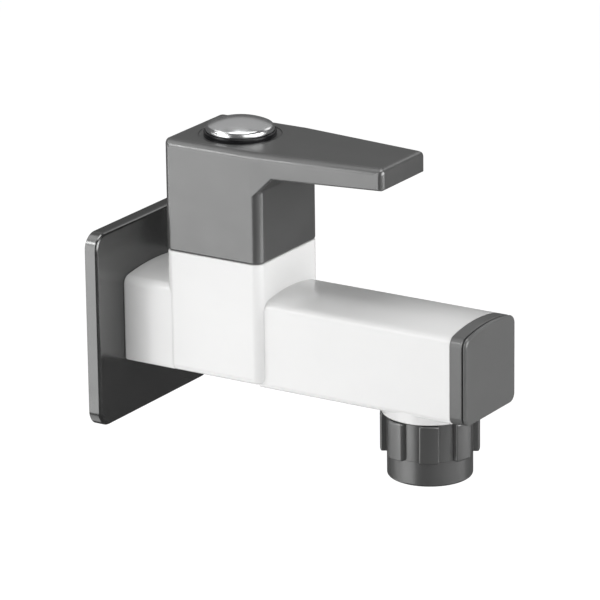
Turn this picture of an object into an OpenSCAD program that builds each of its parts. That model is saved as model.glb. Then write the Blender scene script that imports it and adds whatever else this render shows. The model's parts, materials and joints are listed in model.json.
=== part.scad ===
// Wall-mounted bib cock with a square column, a crowned box spout, a quarter-turn lever
// and a screw-on aerator nozzle.
// The origin is where the inlet's axis meets the wall. +X points out of the wall along the
// spout and +Z points up. All lengths are in millimetres and all angles in degrees.

/* [Wall flange] */
// Side of the square flange that covers the hole in the wall
flange_w = 66; // [54:1:80]
// Thickness of the flange
flange_t = 4.8; // [4.6:0.1:8]
// Radius of the flange's four corners
flange_corner_r = 4; // [2:0.5:8]
// Rolled edge round the flange's front
flange_edge_r = 0.8; // [0.3:0.1:1.4]
// Wall of the flange, which is hollow behind
flange_wall = 2.2; // [1.6:0.1:3]

/* [Inlet] */
// Major radius of the half-inch inlet thread
inlet_thread_r = 10.48; // [9.5:0.01:11]
// Length of thread that goes into the wall fitting
inlet_thread_len = 14; // [10:0.5:20]
// Chamfer at the start of the inlet thread
inlet_lead = 1; // [0.5:0.1:1.5]
// Radius of the plain neck that carries the flange
inlet_neck_r = 11.6; // [11.2:0.1:13]
// Radius of the waterway in the arm
inlet_bore_r = 6; // [4.5:0.1:6.5]

/* [Arm and spout] */
// How far each side of the arm lies inside the column's side
arm_step = 0.2; // [0.1:0.1:2]
// Depth of the arm's flat underside below the inlet axis
arm_drop = 13.4; // [12.8:0.1:15]
// Height of the arm's crowned top above the inlet axis
arm_rise = 17; // [15:0.1:18]
// Radius of the crown across the arm
arm_crown_r = 85; // [60:1:120]
// Rounding of the arm's lower edges
arm_low_r = 1; // [0.6:0.1:2.4]
// Width of the spout
spout_w = 31.4; // [28:0.2:34]
// Depth of the spout's flat underside below the inlet axis
spout_drop = 15.1; // [13.2:0.1:17]
// Height of the crowned top above the inlet axis
spout_rise = 15.8; // [14.8:0.1:18]
// Radius of the crown across the top
crown_r = 62; // [45:1:100]
// Rounding of the upper edges of the arm and of the spout
spout_edge_r = 3.2; // [3:0.1:4.5]
// Rounding of the spout's lower edges
spout_low_r = 2; // [1:0.1:4]
// Wall of the hollow spout
spout_wall = 2.6; // [2:0.1:2.9]
// Distance from the wall to the open end of the spout
spout_end = 127; // [116:0.5:150]

/* [Column] */
// Distance from the wall to the axis of the column
column_x = 39.6; // [34:0.2:46]
// Side of the square column
column_w = 36.4; // [36.4:0.2:40]
// Height of the column's top above the inlet axis
column_top = 27.4; // [26:0.2:34]
// Depth of the column's underside below the inlet axis
column_drop = 13.7; // [13:0.1:17]
// Radius of the column's upright corners
column_corner_r = 3.2; // [2.8:0.1:5]
// Rolled edge under the column
column_foot_r = 2.4; // [1:0.1:2.6]
// Rolled edge round the column's top
column_rim_r = 0.6; // [0.3:0.1:1]

/* [Valve chamber] */
// Height of the valve seat above the inlet axis
seat_h = 8.5; // [7.8:0.1:9.2]
// Radius of the port through the seat
port_r = 5.2; // [4:0.1:5.6]
// Radius of the chamber round the cartridge
chamber_r = 9.8; // [9.6:0.1:10]
// Radius of the column's threaded bore
bonnet_bore_r = 10.4; // [10.3:0.05:11]
// Length of thread that holds the cartridge in the column
bonnet_thread_len = 10.2; // [9.4:0.1:10.6]
// Width of the slot that leads from the chamber to the spout
slot_w = 10; // [6:0.5:12]
// Height of that slot
slot_h = 3.6; // [2.6:0.1:3.6]

/* [Cartridge] */
// Radius of the cartridge's lower sleeve
sleeve_r = 8.9; // [8.8:0.05:9.2]
// Radius of the chamber inside the sleeve
sleeve_bore_r = 7.4; // [7.3:0.05:7.6]
// Radial clearance of the pieces that turn in the cartridge
turn_fit = 0.06; // [0.03:0.01:0.1]
// Clearance of threads and seats that stay put
seat_fit = 0.05; // [0.02:0.01:0.1]
// Thickness of the rubber seat seal
seal_t = 1.8; // [1.4:0.1:2.2]
// Length by which the seal stands out of the sleeve
seal_stand = 0.7; // [0.4:0.1:1]
// Thickness of each ceramic disc
disc_t = 3; // [2.4:0.1:3.4]
// Running gap between the discs and under the spindle
disc_gap = 0.05; // [0.03:0.01:0.1]
// Radius of the solid hub between the openings of a disc
disc_hub_r = 1.6; // [1.2:0.1:2]
// Width of the slot across the upper disc that takes the spindle's tongue
tongue_w = 2.4; // [2:0.1:3]
// Depth of that slot
tongue_d = 1.2; // [0.8:0.1:1.6]
// Width in degrees of each water window
window_angle = 76; // [60:1:84]
// Thickness of the spindle's foot
foot_t = 2.8; // [2.2:0.1:3.2]
// Radius to which the stop lug on the foot reaches
stop_r = 8.6; // [8.2:0.1:8.8]
// Width of the stop lug in degrees
stop_angle = 40; // [25:1:50]
// Play in degrees at each end of the stop's travel
stop_play = 1; // [0.5:0.5:2]
// Thickness of the thrust washer above the foot
thrust_t = 1; // [0.7:0.1:1.3]
// Radius of the spindle's stem
stem_r = 4.9; // [4.5:0.05:5.2]
// Radius of the flange that seats on the column
bonnet_flange_r = 13; // [12.4:0.1:13.6]
// Thickness of that flange
bonnet_flange_t = 1.8; // [1.2:0.1:2.4]
// Width across the flats of the cartridge's hexagon
hex_af = 21; // [19:0.5:22]
// Height of the hexagon
hex_h = 5; // [4:0.5:6]
// Radius of the neck above the hexagon
neck_r = 7.4; // [7:0.1:8]
// Height of the neck above the hexagon
neck_h = 4.6; // [4.2:0.1:6]
// Thickness of the gaskets and rings
ring_t = 1.6; // [1.2:0.1:1.9]
// Depth of the stem's ring grooves
groove_d = 1.1; // [0.8:0.1:1.3]
// Depth of the upper ring below the neck's top
groove_drop = 3; // [2:0.1:3.4]
// Thickness of the spindle's snap ring
clip_t = 0.9; // [0.6:0.1:1.2]
// Breadth of the snap ring outside the stem
clip_w = 1.4; // [1:0.1:2]
// Opening of the snap ring in degrees
clip_gap = 50; // [30:5:70]

/* [Spline] */
// Teeth on the spindle's spline
spline_teeth = 20; // [12:1:24]
// Radius over the teeth
spline_r = 4; // [3.6:0.05:4.3]
// Depth of the teeth
spline_depth = 0.45; // [0.3:0.05:0.6]
// Radius of the splined bush in the handle
bush_r = 6.4; // [6:0.1:7]
// Length of that bush
bush_len = 10; // [7:0.5:12]
// Wall of the handle's boss round the bush
boss_wall = 2; // [1.4:0.1:2.6]
// Gap between the spindle's top and the handle's deck
spindle_gap = 0.5; // [0.3:0.1:1]

/* [Handle] */
// Height of the handle from its rim to its flat top
handle_h = 36.9; // [34:0.1:44]
// Gap between the column and the handle's rim
reveal = 0.4; // [0.3:0.1:0.8]
// Radius of the handle block's upright corners
handle_corner_r = 2.8; // [2.7:0.1:4]
// Rounding along the block's top edges
handle_edge_r = 2.7; // [1.5:0.1:2.7]
// Rounding of the top edge at the back of the block
handle_back_r = 1; // [0.5:0.1:2.5]
// Rounding of the top edge at the lever's tip
tip_edge_r = 1.5; // [0.8:0.1:1.5]
// Reach of the lever from the column's axis
lever_reach = 61.6; // [45:0.2:75]
// Width of the lever's tip
lever_tip_w = 26.6; // [18:0.2:32]
// Radius of the tip's upright corners
tip_corner_r = 1.6; // [1.5:0.1:4]
// Thickness of the lever at its tip
lever_tip_t = 7.1; // [5:0.1:9]
// Thickness of the lever where it leaves the gusset
lever_root_t = 8; // [7.5:0.1:10]
// Length along each side of the gusset under the lever
gusset_leg = 4.6; // [3:0.1:8]
// Radius of the bend between that gusset and the lever's underside
bend_r = 2.4; // [1:0.1:4]
// Distance from the block's face back to where its flanks turn in
flank_back = 3.3; // [1:0.1:4]
// Wall of the hollow handle block
handle_wall = 2.6; // [2:0.1:3.2]
// Radius of the upright corners inside that hollow
hollow_corner_r = 1.3; // [0.6:0.1:2.5]
// Angle through which the handle turns
turn_angle = 90; // [80:1:95]

/* [Button] */
// Radius of the domed button
button_r = 11.2; // [10:0.1:12]
// Height of the button's rim above the handle
button_rim_h = 1.8; // [1.2:0.1:2.6]
// Height of the dome above that rim
dome_h = 3.7; // [2.5:0.1:5]
// Rounding of the shoulder round that dome
button_edge_r = 1.6; // [0.8:0.1:2]
// Thickness of the button's shell
button_shell = 1.4; // [1:0.1:1.8]
// Breadth of the black ring that shows round the button
ring_w = 0.7; // [0.5:0.1:1.2]
// Breadth of the lip by which that ring rests on the handle
ring_lip = 1.6; // [1.2:0.1:2]
// Depth of the black ring's top below the button's rim
ring_drop = 0.6; // [0.4:0.1:0.9]
// Bevel round the black ring's top
ring_bevel = 0.3; // [0.1:0.1:0.5]
// Length of the button's stem ring inside the black ring
button_stem = 4.6; // [3:0.1:5.2]
// Depth of the well under the button
well_depth = 7; // [6.2:0.1:8]
// Depth of the shallow dish round the button
dish_depth = 0.4; // [0.2:0.1:0.8]
// Breadth of that dish outside the black ring
dish_w = 1.7; // [1:0.1:2.4]
// Thickness of the deck between the well and the spindle
deck_t = 3; // [2.4:0.1:4]

/* [Handle screw] */
// Radius of the screw's shank
screw_r = 2; // [1.5:0.1:2.2]
// Radius of the screw's head
screw_head_r = 3.8; // [3.2:0.1:4.6]
// Height of the screw's head
screw_head_h = 2.6; // [2:0.1:3]
// Taper of the head from its foot to its top
screw_head_taper = 0.9; // [0.3:0.1:1.4]
// Width of the cross slot in the head
screw_slot_w = 0.8; // [0.5:0.1:1.1]
// Clearance of the screw in the handle's deck and in the lock washer
screw_fit = 0.25; // [0.15:0.05:0.4]
// Depth of the tapped hole in the spindle
screw_grip = 9; // [6:0.5:12]
// Space left under the screw's point
screw_tip_gap = 1; // [0.5:0.1:2]
// Thickness of the lock washer
lock_t = 0.8; // [0.5:0.1:1.2]
// Split of the lock washer in degrees
lock_gap = 12; // [6:1:20]

/* [End cap] */
// Length of the cap that shows beside the spout
cap_len = 4.4; // [3:0.1:8]
// Width of the groove behind the cap's face
cap_groove_w = 0.5; // [0.4:0.1:1.2]
// Depth of that groove
cap_groove_d = 0.8; // [0.4:0.1:1.4]
// Thickness of the face plate
cap_face_t = 1.2; // [1.1:0.1:3]
// Rolled edge round the face plate
cap_edge_r = 0.9; // [0.5:0.1:1]
// Length of the plug inside the spout
plug_len = 5.6; // [4:0.2:6]
// Wall of the hollow cap and its plug
cap_wall = 2; // [1.6:0.1:2.4]

/* [Outlet] */
// Distance from the spout's open end back to the outlet's axis
outlet_back = 16.5; // [16.2:0.1:24]
// Radius of the collar under the spout
collar_r = 15.6; // [14.8:0.1:16]
// Height of the collar below the spout
collar_h = 2.4; // [1.5:0.1:5]
// Major radius of the outlet's thread
outlet_thread_r = 12.2; // [11.8:0.05:12.5]
// Length of the outlet's thread
outlet_thread_len = 9.5; // [8.5:0.1:12]
// Radius of the outlet's waterway
outlet_bore_r = 9; // [7:0.1:9.6]

/* [Nozzle] */
// Gap between the collar and the nozzle
nozzle_gap = 0.3; // [0.2:0.1:0.6]
// Height of the whole nozzle
nozzle_h = 21.1; // [20:0.1:26]
// Radius over the grip ribs
rib_r = 16.1; // [15.4:0.1:18]
// Height of the ribs
rib_h = 12.7; // [8:0.1:15]
// Width of a rib
rib_w = 6.4; // [4:0.1:7.5]
// Rounding of a rib's upright edges
rib_edge_r = 0.6; // [0.3:0.1:1]
// Bevel at a rib's upper and lower end
rib_bevel = 0.5; // [0.3:0.1:0.8]
// Number of ribs
rib_count = 8; // [6:1:9]
// Turn of the first rib from the spout's axis with the nozzle tight
rib_turn = -15.5; // [-22:0.1:22]
// Radius of the nozzle between its ribs
nozzle_waist_r = 14.3; // [14.1:0.1:15]
// Radius of the smooth end that a hose slips over
nozzle_end_r = 13.9; // [13.4:0.1:14]
// Rolled edge at the nozzle's mouth
nozzle_edge_r = 0.8; // [0.4:0.1:1.2]
// Radial clearance in the nozzle's thread
thread_fit = 0.08; // [0.04:0.01:0.1]
// Breadth of the ledge that holds the aerator
ledge_w = 1.4; // [1:0.1:2]

/* [Aerator] */
// Thickness of the washer above the aerator
washer_t = 1.6; // [1.2:0.1:2]
// Thickness of the aerator's rim
insert_rim_t = 1.2; // [0.9:0.1:1.6]
// Length of the aerator below its rim
insert_len = 4.4; // [3.6:0.1:5]
// Wall of the aerator's cup
insert_wall = 1.2; // [0.9:0.1:1.6]
// Gap round the aerator inside the nozzle
insert_fit = 0.25; // [0.15:0.05:0.4]
// Number of slots in the aerator's diffuser
diffuser_slots = 24; // [12:2:30]
// Width of a slot
diffuser_slot_w = 0.7; // [0.4:0.1:0.9]
// Radius of the plain middle of the diffuser
diffuser_hub_r = 4.8; // [4.6:0.1:6]
// Breadth of the plain rim outside the slots
diffuser_rim_w = 1.2; // [0.8:0.1:2]
// Thickness of one gauze disc
gauze_t = 0.5; // [0.3:0.1:0.7]
// Distance from one gauze disc to the next
gauze_pitch = 1.1; // [0.9:0.1:1.3]
// Depth of the lower gauze inside the cup's mouth
gauze_recess = 0.4; // [0.2:0.1:0.8]
// Radius of a hole in the gauze
gauze_hole_r = 0.55; // [0.3:0.05:0.6]
// Breadth of the plain rim outside the holes
gauze_rim_w = 1.4; // [1:0.1:2]
// Rows of holes from the middle of the gauze outwards
gauze_rows = 3; // [2:1:4]

/* [Hidden] */
$fn = 72;
white = "#f2f2f0";
grey = "#6f706f";
black = "#18191a";
chrome = "#c9ccce";
brass = "#c8a451";
steel = "#a9adb0";
ceramic = "#e9e6dc";
rubber = "#26272a";
acetal = "#d9dad6";

// Height of the flat cones and pyramids from which a rolled edge is hulled
slice = 0.01;
// Degrees between the slices of a rolled edge
roll_step = 15;
// Smallest radius drawn at an inner corner
least_r = 0.3;
// Length by which a cut runs past a face, or one part of a piece into another
lap = 0.5;
// Half widths of a spline tooth at its foot and at its tip, as shares of its step
tooth_foot = 0.36;
tooth_tip = 0.14;

// Heights of the cartridge's pieces, from the seat upwards
seal_top = seat_h + seal_t;
sleeve_low = seat_h + seal_stand;
fixed_top = seal_top + disc_t;
rotor_low = fixed_top + disc_gap;
rotor_top = rotor_low + disc_t;
foot_low = rotor_top + disc_gap;
foot_top = foot_low + foot_t;
thrust_low = foot_top + disc_gap;
thrust_top = thrust_low + thrust_t;
thread_low = column_top - bonnet_thread_len;
stop_low = max(thread_low, foot_low);
flange_top = column_top + bonnet_flange_t;
hex_top = flange_top + hex_h;
neck_top = hex_top + neck_h;
clip_low = neck_top + disc_gap;
clip_top = clip_low + clip_t;

// Heights of the handle's pieces
handle_low = column_top + reveal;
handle_top = handle_low + handle_h;
well_floor = handle_top - well_depth;
deck_low = well_floor - deck_t;
spindle_top = deck_low - spindle_gap;
arm_w = column_w - 2 * arm_step;
block_left = column_x - column_w / 2;
block_right = column_x + column_w / 2;
flank_x = block_right - flank_back;
cavity_x = block_right - column_foot_r;
lever_tip = column_x + lever_reach;
gusset_end = block_right + gusset_leg;
gusset_lean = 45;
under_slope = (lever_root_t - lever_tip_t) / (lever_tip - gusset_end);
bush_low = deck_low - bush_len;
boss_r = bush_r + boss_wall;

// Button and its ring
rim_z = handle_top + button_rim_h;
button_top = rim_z + dome_h;
black_r = button_r + ring_w;
well_r = black_r - ring_lip;
ring_top = rim_z - ring_drop;
ring_bore_r = well_r - button_shell;
dish_floor = handle_top - dish_depth;

// End cap
plug_inset = spout_wall + seat_fit;
plug_low = spout_end - plug_len;
groove_x = spout_end + cap_len;
face_x = groove_x + cap_groove_w;
cap_end = face_x + cap_face_t;

// Outlet and nozzle, from the collar downwards
outlet_x = spout_end - outlet_back;
collar_z = -spout_drop - collar_h;
outlet_end_z = collar_z - outlet_thread_len;
washer_z = outlet_end_z - washer_t;
insert_rim_z = washer_z - insert_rim_t;
insert_end_z = insert_rim_z - insert_len;
nozzle_top_z = collar_z - nozzle_gap;
nozzle_end_z = nozzle_top_z - nozzle_h;
nozzle_bore_r = outlet_thread_r + thread_fit;
ledge_z = insert_rim_z - disc_gap;
mouth_r = nozzle_bore_r - ledge_w;
insert_r = mouth_r - insert_fit;
insert_bore_r = insert_r - insert_wall;

// Height of the lever's underside at a place along it
function underside(x) = handle_top - lever_root_t + under_slope * (x - gusset_end);

// Lower face of stem ring number i, counted down from the neck's top
function stem_ring_low(i) = neck_top - groove_drop - ring_t * (1 + 2 * i);

// Rectangle with round corners, centred on the origin
module round_rect(w, d, r) {
    square([w - 2 * r, d], center = true);
    square([w, d - 2 * r], center = true);
    for (sx = [-1, 1], sy = [-1, 1])
        translate([sx * (w / 2 - r), sy * (d / 2 - r)])
            circle(r);
}

// Flat cone with a single sharp rim at height z. Its point lies inside the hull that uses it:
// above the rim on the lowest rim of the hull, and otherwise below it.
module rim(r, z, lowest = false) {
    translate([0, 0, lowest ? z : z - slice])
        cylinder(r1 = lowest ? r : 0, r2 = lowest ? 0 : r, h = slice, $fn = 32);
}

// Layer of a rounded rectangle whose upper rim is rolled over by edge_r
module rolled_layer(w, d, r, edge_r) {
    hull()
        for (a = [0 : roll_step : 90], sx = [-1, 1], sy = [-1, 1]) {
            inset = edge_r * (1 - cos(a));
            disc_r = max(r - inset, least_r);
            translate([sx * (w / 2 - inset - disc_r), sy * (d / 2 - inset - disc_r), 0])
                rim(disc_r, edge_r * sin(a), a == 0);
        }
}

// Turns a drawing of width and height into a bar along +X that starts at x
module along_x(x, len) {
    translate([x, 0, 0])
        rotate([90, 0, 90])
            linear_extrude(len)
                children();
}

// Section across the X axis, drawn in by an inset: upright sides, a flat underside and a
// shallow crown that runs smoothly into the rounded shoulders
module crowned_section(w, drop, rise, crown, low_edge_r, inset, crown_fn) {
    half = w / 2 - inset;
    r = max(spout_edge_r - inset, least_r);
    low_r = max(low_edge_r - inset, least_r);
    low = -drop + inset;
    top_r = crown - inset;
    crown_z = rise - crown;
    shoulder_y = half - r;
    shoulder_z = crown_z + sqrt(pow(top_r - r, 2) - pow(shoulder_y, 2));
    blend_y = shoulder_y * top_r / (top_r - r);
    intersection() {
        translate([0, crown_z])
            circle(top_r, $fn = crown_fn);
        translate([-blend_y, low + low_r])
            square([2 * blend_y, rise - low]);
    }
    translate([-half, low + low_r])
        square([2 * half, shoulder_z - low - low_r]);
    translate([low_r - half, low])
        square([2 * (half - low_r), 2 * low_r]);
    for (side = [-1, 1]) {
        translate([side * shoulder_y, shoulder_z])
            circle(r);
        translate([side * (half - low_r), low + low_r])
            circle(low_r);
    }
}

// Section of the arm between the wall and the column
module arm_section() {
    crowned_section(arm_w, arm_drop, arm_rise, arm_crown_r, arm_low_r, 0, 360);
}

// Section of the spout and its cap, drawn in by an inset
module spout_section(inset = 0, crown_fn = 360) {
    crowned_section(spout_w, spout_drop, spout_rise, crown_r, spout_low_r, inset, crown_fn);
}

// Flat pyramid on the spout's section at x, with its point on the side of the wall.
// A hull over several of them is a rolled edge.
module spout_rim(x, inset) {
    translate([x, 0, 0])
        rotate([90, 0, 90])
            mirror([0, 0, 1])
                linear_extrude(slice, scale = 0)
                    spout_section(inset, crown_fn = 120, $fn = 32);
}

// Ring about the Z axis between two radii and two heights
module ring(r_out, r_in, low, high) {
    translate([0, 0, low])
        difference() {
            cylinder(r = r_out, h = high - low);
            translate([0, 0, -lap])
                cylinder(r = r_in, h = high - low + 2 * lap);
        }
}

// Sector of a ring about the Z axis from one angle to another
module sector(r_out, r_in, low, high, from, to) {
    rotate([0, 0, from])
        rotate_extrude(angle = to - from)
            translate([r_in, low])
                square([r_out - r_in, high - low]);
}

// Puts what is drawn about the Z axis on the column's axis
module on_column() {
    translate([column_x, 0, 0])
        children();
}

// Puts what is drawn about the Z axis on the outlet's axis
module at_outlet() {
    translate([outlet_x, 0, 0])
        children();
}

// Square cover plate, hollow behind, with a boss round the inlet's neck
module wall_flange() {
    pocket = flange_w - 2 * flange_wall;
    color(grey)
        rotate([90, 0, 90])
            difference() {
                union() {
                    linear_extrude(flange_t - flange_edge_r)
                        round_rect(flange_w, flange_w, flange_corner_r);
                    translate([0, 0, flange_t - flange_edge_r])
                        rolled_layer(flange_w, flange_w, flange_corner_r, flange_edge_r);
                }
                translate([0, 0, -lap])
                    linear_extrude(flange_t - flange_wall + lap)
                        difference() {
                            round_rect(pocket, pocket, max(flange_corner_r - flange_wall, least_r));
                            circle(inlet_neck_r + flange_wall);
                        }
                translate([0, 0, -lap])
                    cylinder(r = inlet_neck_r + seat_fit, h = flange_t + 2 * lap);
            }
}

// Threaded stub that goes into the wall, and the plain neck under the flange
module inlet_stub() {
    rotate([0, 90, 0]) {
        translate([0, 0, -inlet_thread_len])
            cylinder(r1 = inlet_thread_r - inlet_lead, r2 = inlet_thread_r, h = inlet_lead);
        translate([0, 0, inlet_lead - inlet_thread_len])
            cylinder(r = inlet_thread_r, h = inlet_thread_len);
        cylinder(r = inlet_neck_r, h = flange_t + lap);
    }
}

// Square column with rolled edges above and below
module column_block() {
    on_column() {
        translate([0, 0, -column_drop + column_foot_r])
            linear_extrude(column_top + column_drop - column_foot_r - column_rim_r)
                round_rect(column_w, column_w, column_corner_r);
        translate([0, 0, -column_drop + column_foot_r])
            mirror([0, 0, 1])
                rolled_layer(column_w, column_w, column_corner_r, column_foot_r);
        translate([0, 0, column_top - column_rim_r])
            rolled_layer(column_w, column_w, column_corner_r, column_rim_r);
    }
}

// Inlet bore, valve chamber, slot into the spout, spout cavity and outlet
module waterways() {
    cavity_roof = spout_rise - spout_wall;
    translate([-inlet_thread_len - lap, 0, 0])
        rotate([0, 90, 0])
            cylinder(r = inlet_bore_r, h = inlet_thread_len + lap + column_x);
    on_column() {
        cylinder(r = port_r, h = seat_h + lap);
        translate([0, 0, seat_h])
            cylinder(r = chamber_r, h = column_top - seat_h);
        translate([0, 0, thread_low - lap])
            cylinder(r = bonnet_bore_r, h = column_top - thread_low + 2 * lap);
        translate([0, -slot_w / 2, (seat_h + cavity_roof - slot_h) / 2])
            cube([cavity_x - column_x + lap, slot_w, slot_h]);
    }
    along_x(cavity_x, spout_end - cavity_x + lap)
        spout_section(spout_wall);
    at_outlet()
        translate([0, 0, outlet_end_z - lap])
            cylinder(r = outlet_bore_r, h = -outlet_end_z + lap);
}

// White moulding: arm, column, spout, collar and threaded outlet in one piece
module tap_body() {
    color(white)
        difference() {
            union() {
                inlet_stub();
                along_x(flange_t, block_left + column_foot_r - flange_t)
                    arm_section();
                along_x(cavity_x, spout_end - cavity_x)
                    spout_section();
                column_block();
                at_outlet() {
                    translate([0, 0, collar_z])
                        cylinder(r = collar_r, h = collar_h + spout_edge_r);
                    translate([0, 0, outlet_end_z])
                        cylinder(r = outlet_thread_r, h = outlet_thread_len + collar_h);
                }
            }
            waterways();
        }
}

// Cap on the spout's end: a strip, a shadow groove, a face with a rolled edge and a plug
module end_cap() {
    color(grey)
        difference() {
            union() {
                along_x(spout_end, cap_len)
                    spout_section();
                along_x(groove_x, cap_groove_w)
                    spout_section(cap_groove_d);
                along_x(face_x, cap_face_t - cap_edge_r)
                    spout_section();
                hull()
                    for (a = [0 : roll_step : 90])
                        spout_rim(cap_end - cap_edge_r * (1 - sin(a)), cap_edge_r * (1 - cos(a)));
                along_x(plug_low, plug_len)
                    spout_section(plug_inset);
            }
            along_x(plug_low - lap, cap_end - plug_low - cap_wall + lap)
                spout_section(plug_inset + cap_wall);
            along_x(plug_low + cap_wall, ring_t)
                difference() {
                    spout_section(plug_inset - lap);
                    spout_section(plug_inset + cap_wall / 2);
                }
        }
}

// Seal in the groove of the plug
module end_cap_seal() {
    color(rubber)
        along_x(plug_low + cap_wall, ring_t)
            difference() {
                spout_section(spout_wall + seat_fit / 2);
                spout_section(plug_inset + cap_wall / 2);
            }
}

// Brass cartridge body: windowed sleeve, thread, flange, hexagon and neck
module cartridge_housing() {
    stop_from = 180 - stop_angle / 2;
    color(brass)
        on_column()
            difference() {
                union() {
                    translate([0, 0, sleeve_low])
                        cylinder(r = sleeve_r, h = thread_low - sleeve_low);
                    translate([0, 0, thread_low])
                        cylinder(r = bonnet_bore_r - seat_fit, h = column_top - thread_low);
                    translate([0, 0, column_top])
                        cylinder(r = bonnet_flange_r, h = bonnet_flange_t);
                    translate([0, 0, flange_top])
                        cylinder(d = hex_af / cos(30), h = hex_h, $fn = 6);
                    translate([0, 0, hex_top])
                        cylinder(r = neck_r, h = neck_h);
                }
                translate([0, 0, sleeve_low - lap])
                    cylinder(r = sleeve_bore_r, h = thrust_top - sleeve_low + lap);
                translate([0, 0, thrust_top - lap])
                    cylinder(r = stem_r + turn_fit, h = neck_top - thrust_top + 2 * lap);
                sector(stop_r + seat_fit, sleeve_bore_r - lap, stop_low, thrust_low,
                       stop_from - stop_play, stop_from + stop_angle + turn_angle + stop_play);
                for (side = [0, 180])
                    sector(sleeve_r + lap, sleeve_bore_r - lap, rotor_low, rotor_top,
                           side - window_angle / 2, side + window_angle / 2);
                ring(bonnet_flange_r - ring_t / 2, bonnet_bore_r + seat_fit, column_top - lap,
                     column_top + ring_t / 2);
            }
}

// Gasket between the cartridge's flange and the column
module housing_gasket() {
    color(rubber)
        on_column()
            ring(bonnet_flange_r - ring_t / 2 - seat_fit, bonnet_bore_r + 2 * seat_fit, column_top,
                 column_top + ring_t / 2);
}

// Rubber seal between the valve seat and the lower disc
module seat_seal() {
    color(rubber)
        on_column()
            ring(sleeve_bore_r - seat_fit, port_r, seat_h, seal_top);
}

// Lower ceramic disc with two sector openings
module fixed_disc() {
    color(ceramic)
        on_column()
            difference() {
                translate([0, 0, seal_top])
                    cylinder(r = sleeve_bore_r - seat_fit, h = disc_t);
                for (side = [0, 180])
                    sector(port_r, disc_hub_r, seal_top - lap, fixed_top + lap,
                           side - window_angle / 2, side + window_angle / 2);
            }
}

// Upper ceramic disc, cut away on both sides where the water passes when open
module rotating_disc() {
    color(ceramic)
        on_column()
            difference() {
                translate([0, 0, rotor_low])
                    cylinder(r = sleeve_bore_r - turn_fit, h = disc_t);
                for (side = [90, 270])
                    sector(sleeve_bore_r + lap, disc_hub_r, rotor_low - lap, rotor_top + lap,
                           side - window_angle / 2, side + window_angle / 2);
                rotor_slot(0);
            }
}

// Slot across the top of the upper disc, and the spindle's tongue when it is narrower
module rotor_slot(fit) {
    translate([-sleeve_bore_r - lap, fit - tongue_w / 2, rotor_top - tongue_d + fit])
        cube([2 * (sleeve_bore_r + lap), tongue_w - 2 * fit, tongue_d + lap]);
}

// Acetal washer that the spindle's foot turns under
module thrust_washer() {
    color(acetal)
        on_column()
            ring(sleeve_bore_r - seat_fit, stem_r + turn_fit, thrust_low, thrust_top);
}

// Outline of the spline, grown by a fit for the bush that slides over it
module spline_outline(fit) {
    foot = spline_r - spline_depth + fit;
    tip = spline_r + fit;
    step = 360 / spline_teeth;
    tooth = [[-tooth_foot, foot], [-tooth_tip, tip], [tooth_tip, tip], [tooth_foot, foot]];
    polygon([for (i = [0 : spline_teeth - 1], p = tooth)
        p[1] * [cos((i + p[0]) * step), sin((i + p[0]) * step)]]);
}

// Spindle: foot with its tongue and stop lug, stem with ring grooves, spline and tapped end
module spindle() {
    color(brass)
        on_column()
            difference() {
                union() {
                    translate([0, 0, foot_low])
                        cylinder(r = sleeve_bore_r - turn_fit, h = foot_t);
                    intersection() {
                        rotor_slot(seat_fit);
                        cylinder(r = sleeve_bore_r - turn_fit, h = foot_low + lap);
                    }
                    sector(stop_r, sleeve_bore_r - lap, stop_low + seat_fit, foot_top,
                           180 - stop_angle / 2, 180 + stop_angle / 2);
                    translate([0, 0, foot_top])
                        cylinder(r = stem_r, h = clip_top + lap - foot_top);
                    translate([0, 0, clip_top])
                        linear_extrude(spindle_top - clip_top)
                            spline_outline(0);
                }
                for (i = [0, 1])
                    o_ring_groove(i);
                ring(stem_r + lap, stem_r - clip_t, clip_low, clip_top);
                translate([0, 0, spindle_top - screw_grip])
                    cylinder(r = screw_r + seat_fit, h = screw_grip + lap);
            }
}

// Groove for one of the stem's two rings
module o_ring_groove(i) {
    ring(stem_r + lap, stem_r - groove_d, stem_ring_low(i), stem_ring_low(i) + ring_t);
}

// Two rings that seal the stem in the cartridge's bore
module spindle_o_rings() {
    color(rubber)
        on_column()
            for (i = [0, 1])
                ring(stem_r + turn_fit / 2, stem_r - groove_d + seat_fit,
                     stem_ring_low(i) + seat_fit, stem_ring_low(i) + ring_t - seat_fit);
}

// Open snap ring that keeps the spindle down in the neck
module spindle_clip() {
    color(steel)
        on_column()
            sector(stem_r + clip_w, stem_r - clip_t + seat_fit, clip_low + seat_fit,
                   clip_top - seat_fit, clip_gap / 2, 360 - clip_gap / 2);
}

// Corners of the handle seen from above: x, half the width, rounding of the top edge, radius
// of the upright corner, and the direction along X in which the corner lies from x
handle_corners = [
    [block_left, column_w / 2, handle_edge_r, handle_corner_r, 1],
    [flank_x, column_w / 2, handle_edge_r, handle_corner_r, 0],
    [lever_tip, lever_tip_w / 2, tip_edge_r, tip_corner_r, -1]
];

// One height of the rolled top: angle a runs from 0 at the flanks to 90 on the flat top.
// The back edge is rolled more tightly than the flanks.
module handle_rims(a) {
    for (c = handle_corners, side = [-1, 1]) {
        disc_r = max(c[3] - c[2] * (1 - cos(a)), least_r);
        end_r = c[4] > 0 ? handle_back_r : c[2];
        translate([
            c[0] + c[4] * (end_r * (1 - cos(a)) + disc_r),
            side * (c[1] - c[2] * (1 - cos(a)) - disc_r),
            0
        ])
            rim(disc_r, handle_top - c[2] * (1 - sin(a)));
    }
}

// Block and lever as one form: upright flanks under the rolled top edge
module handle_form() {
    hull() {
        for (a = [0 : roll_step : 90])
            handle_rims(a);
        for (c = handle_corners, side = [-1, 1])
            translate([c[0] + c[4] * c[3], side * (c[1] - c[3]), 0])
                rim(c[3], handle_low, true);
    }
}

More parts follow.
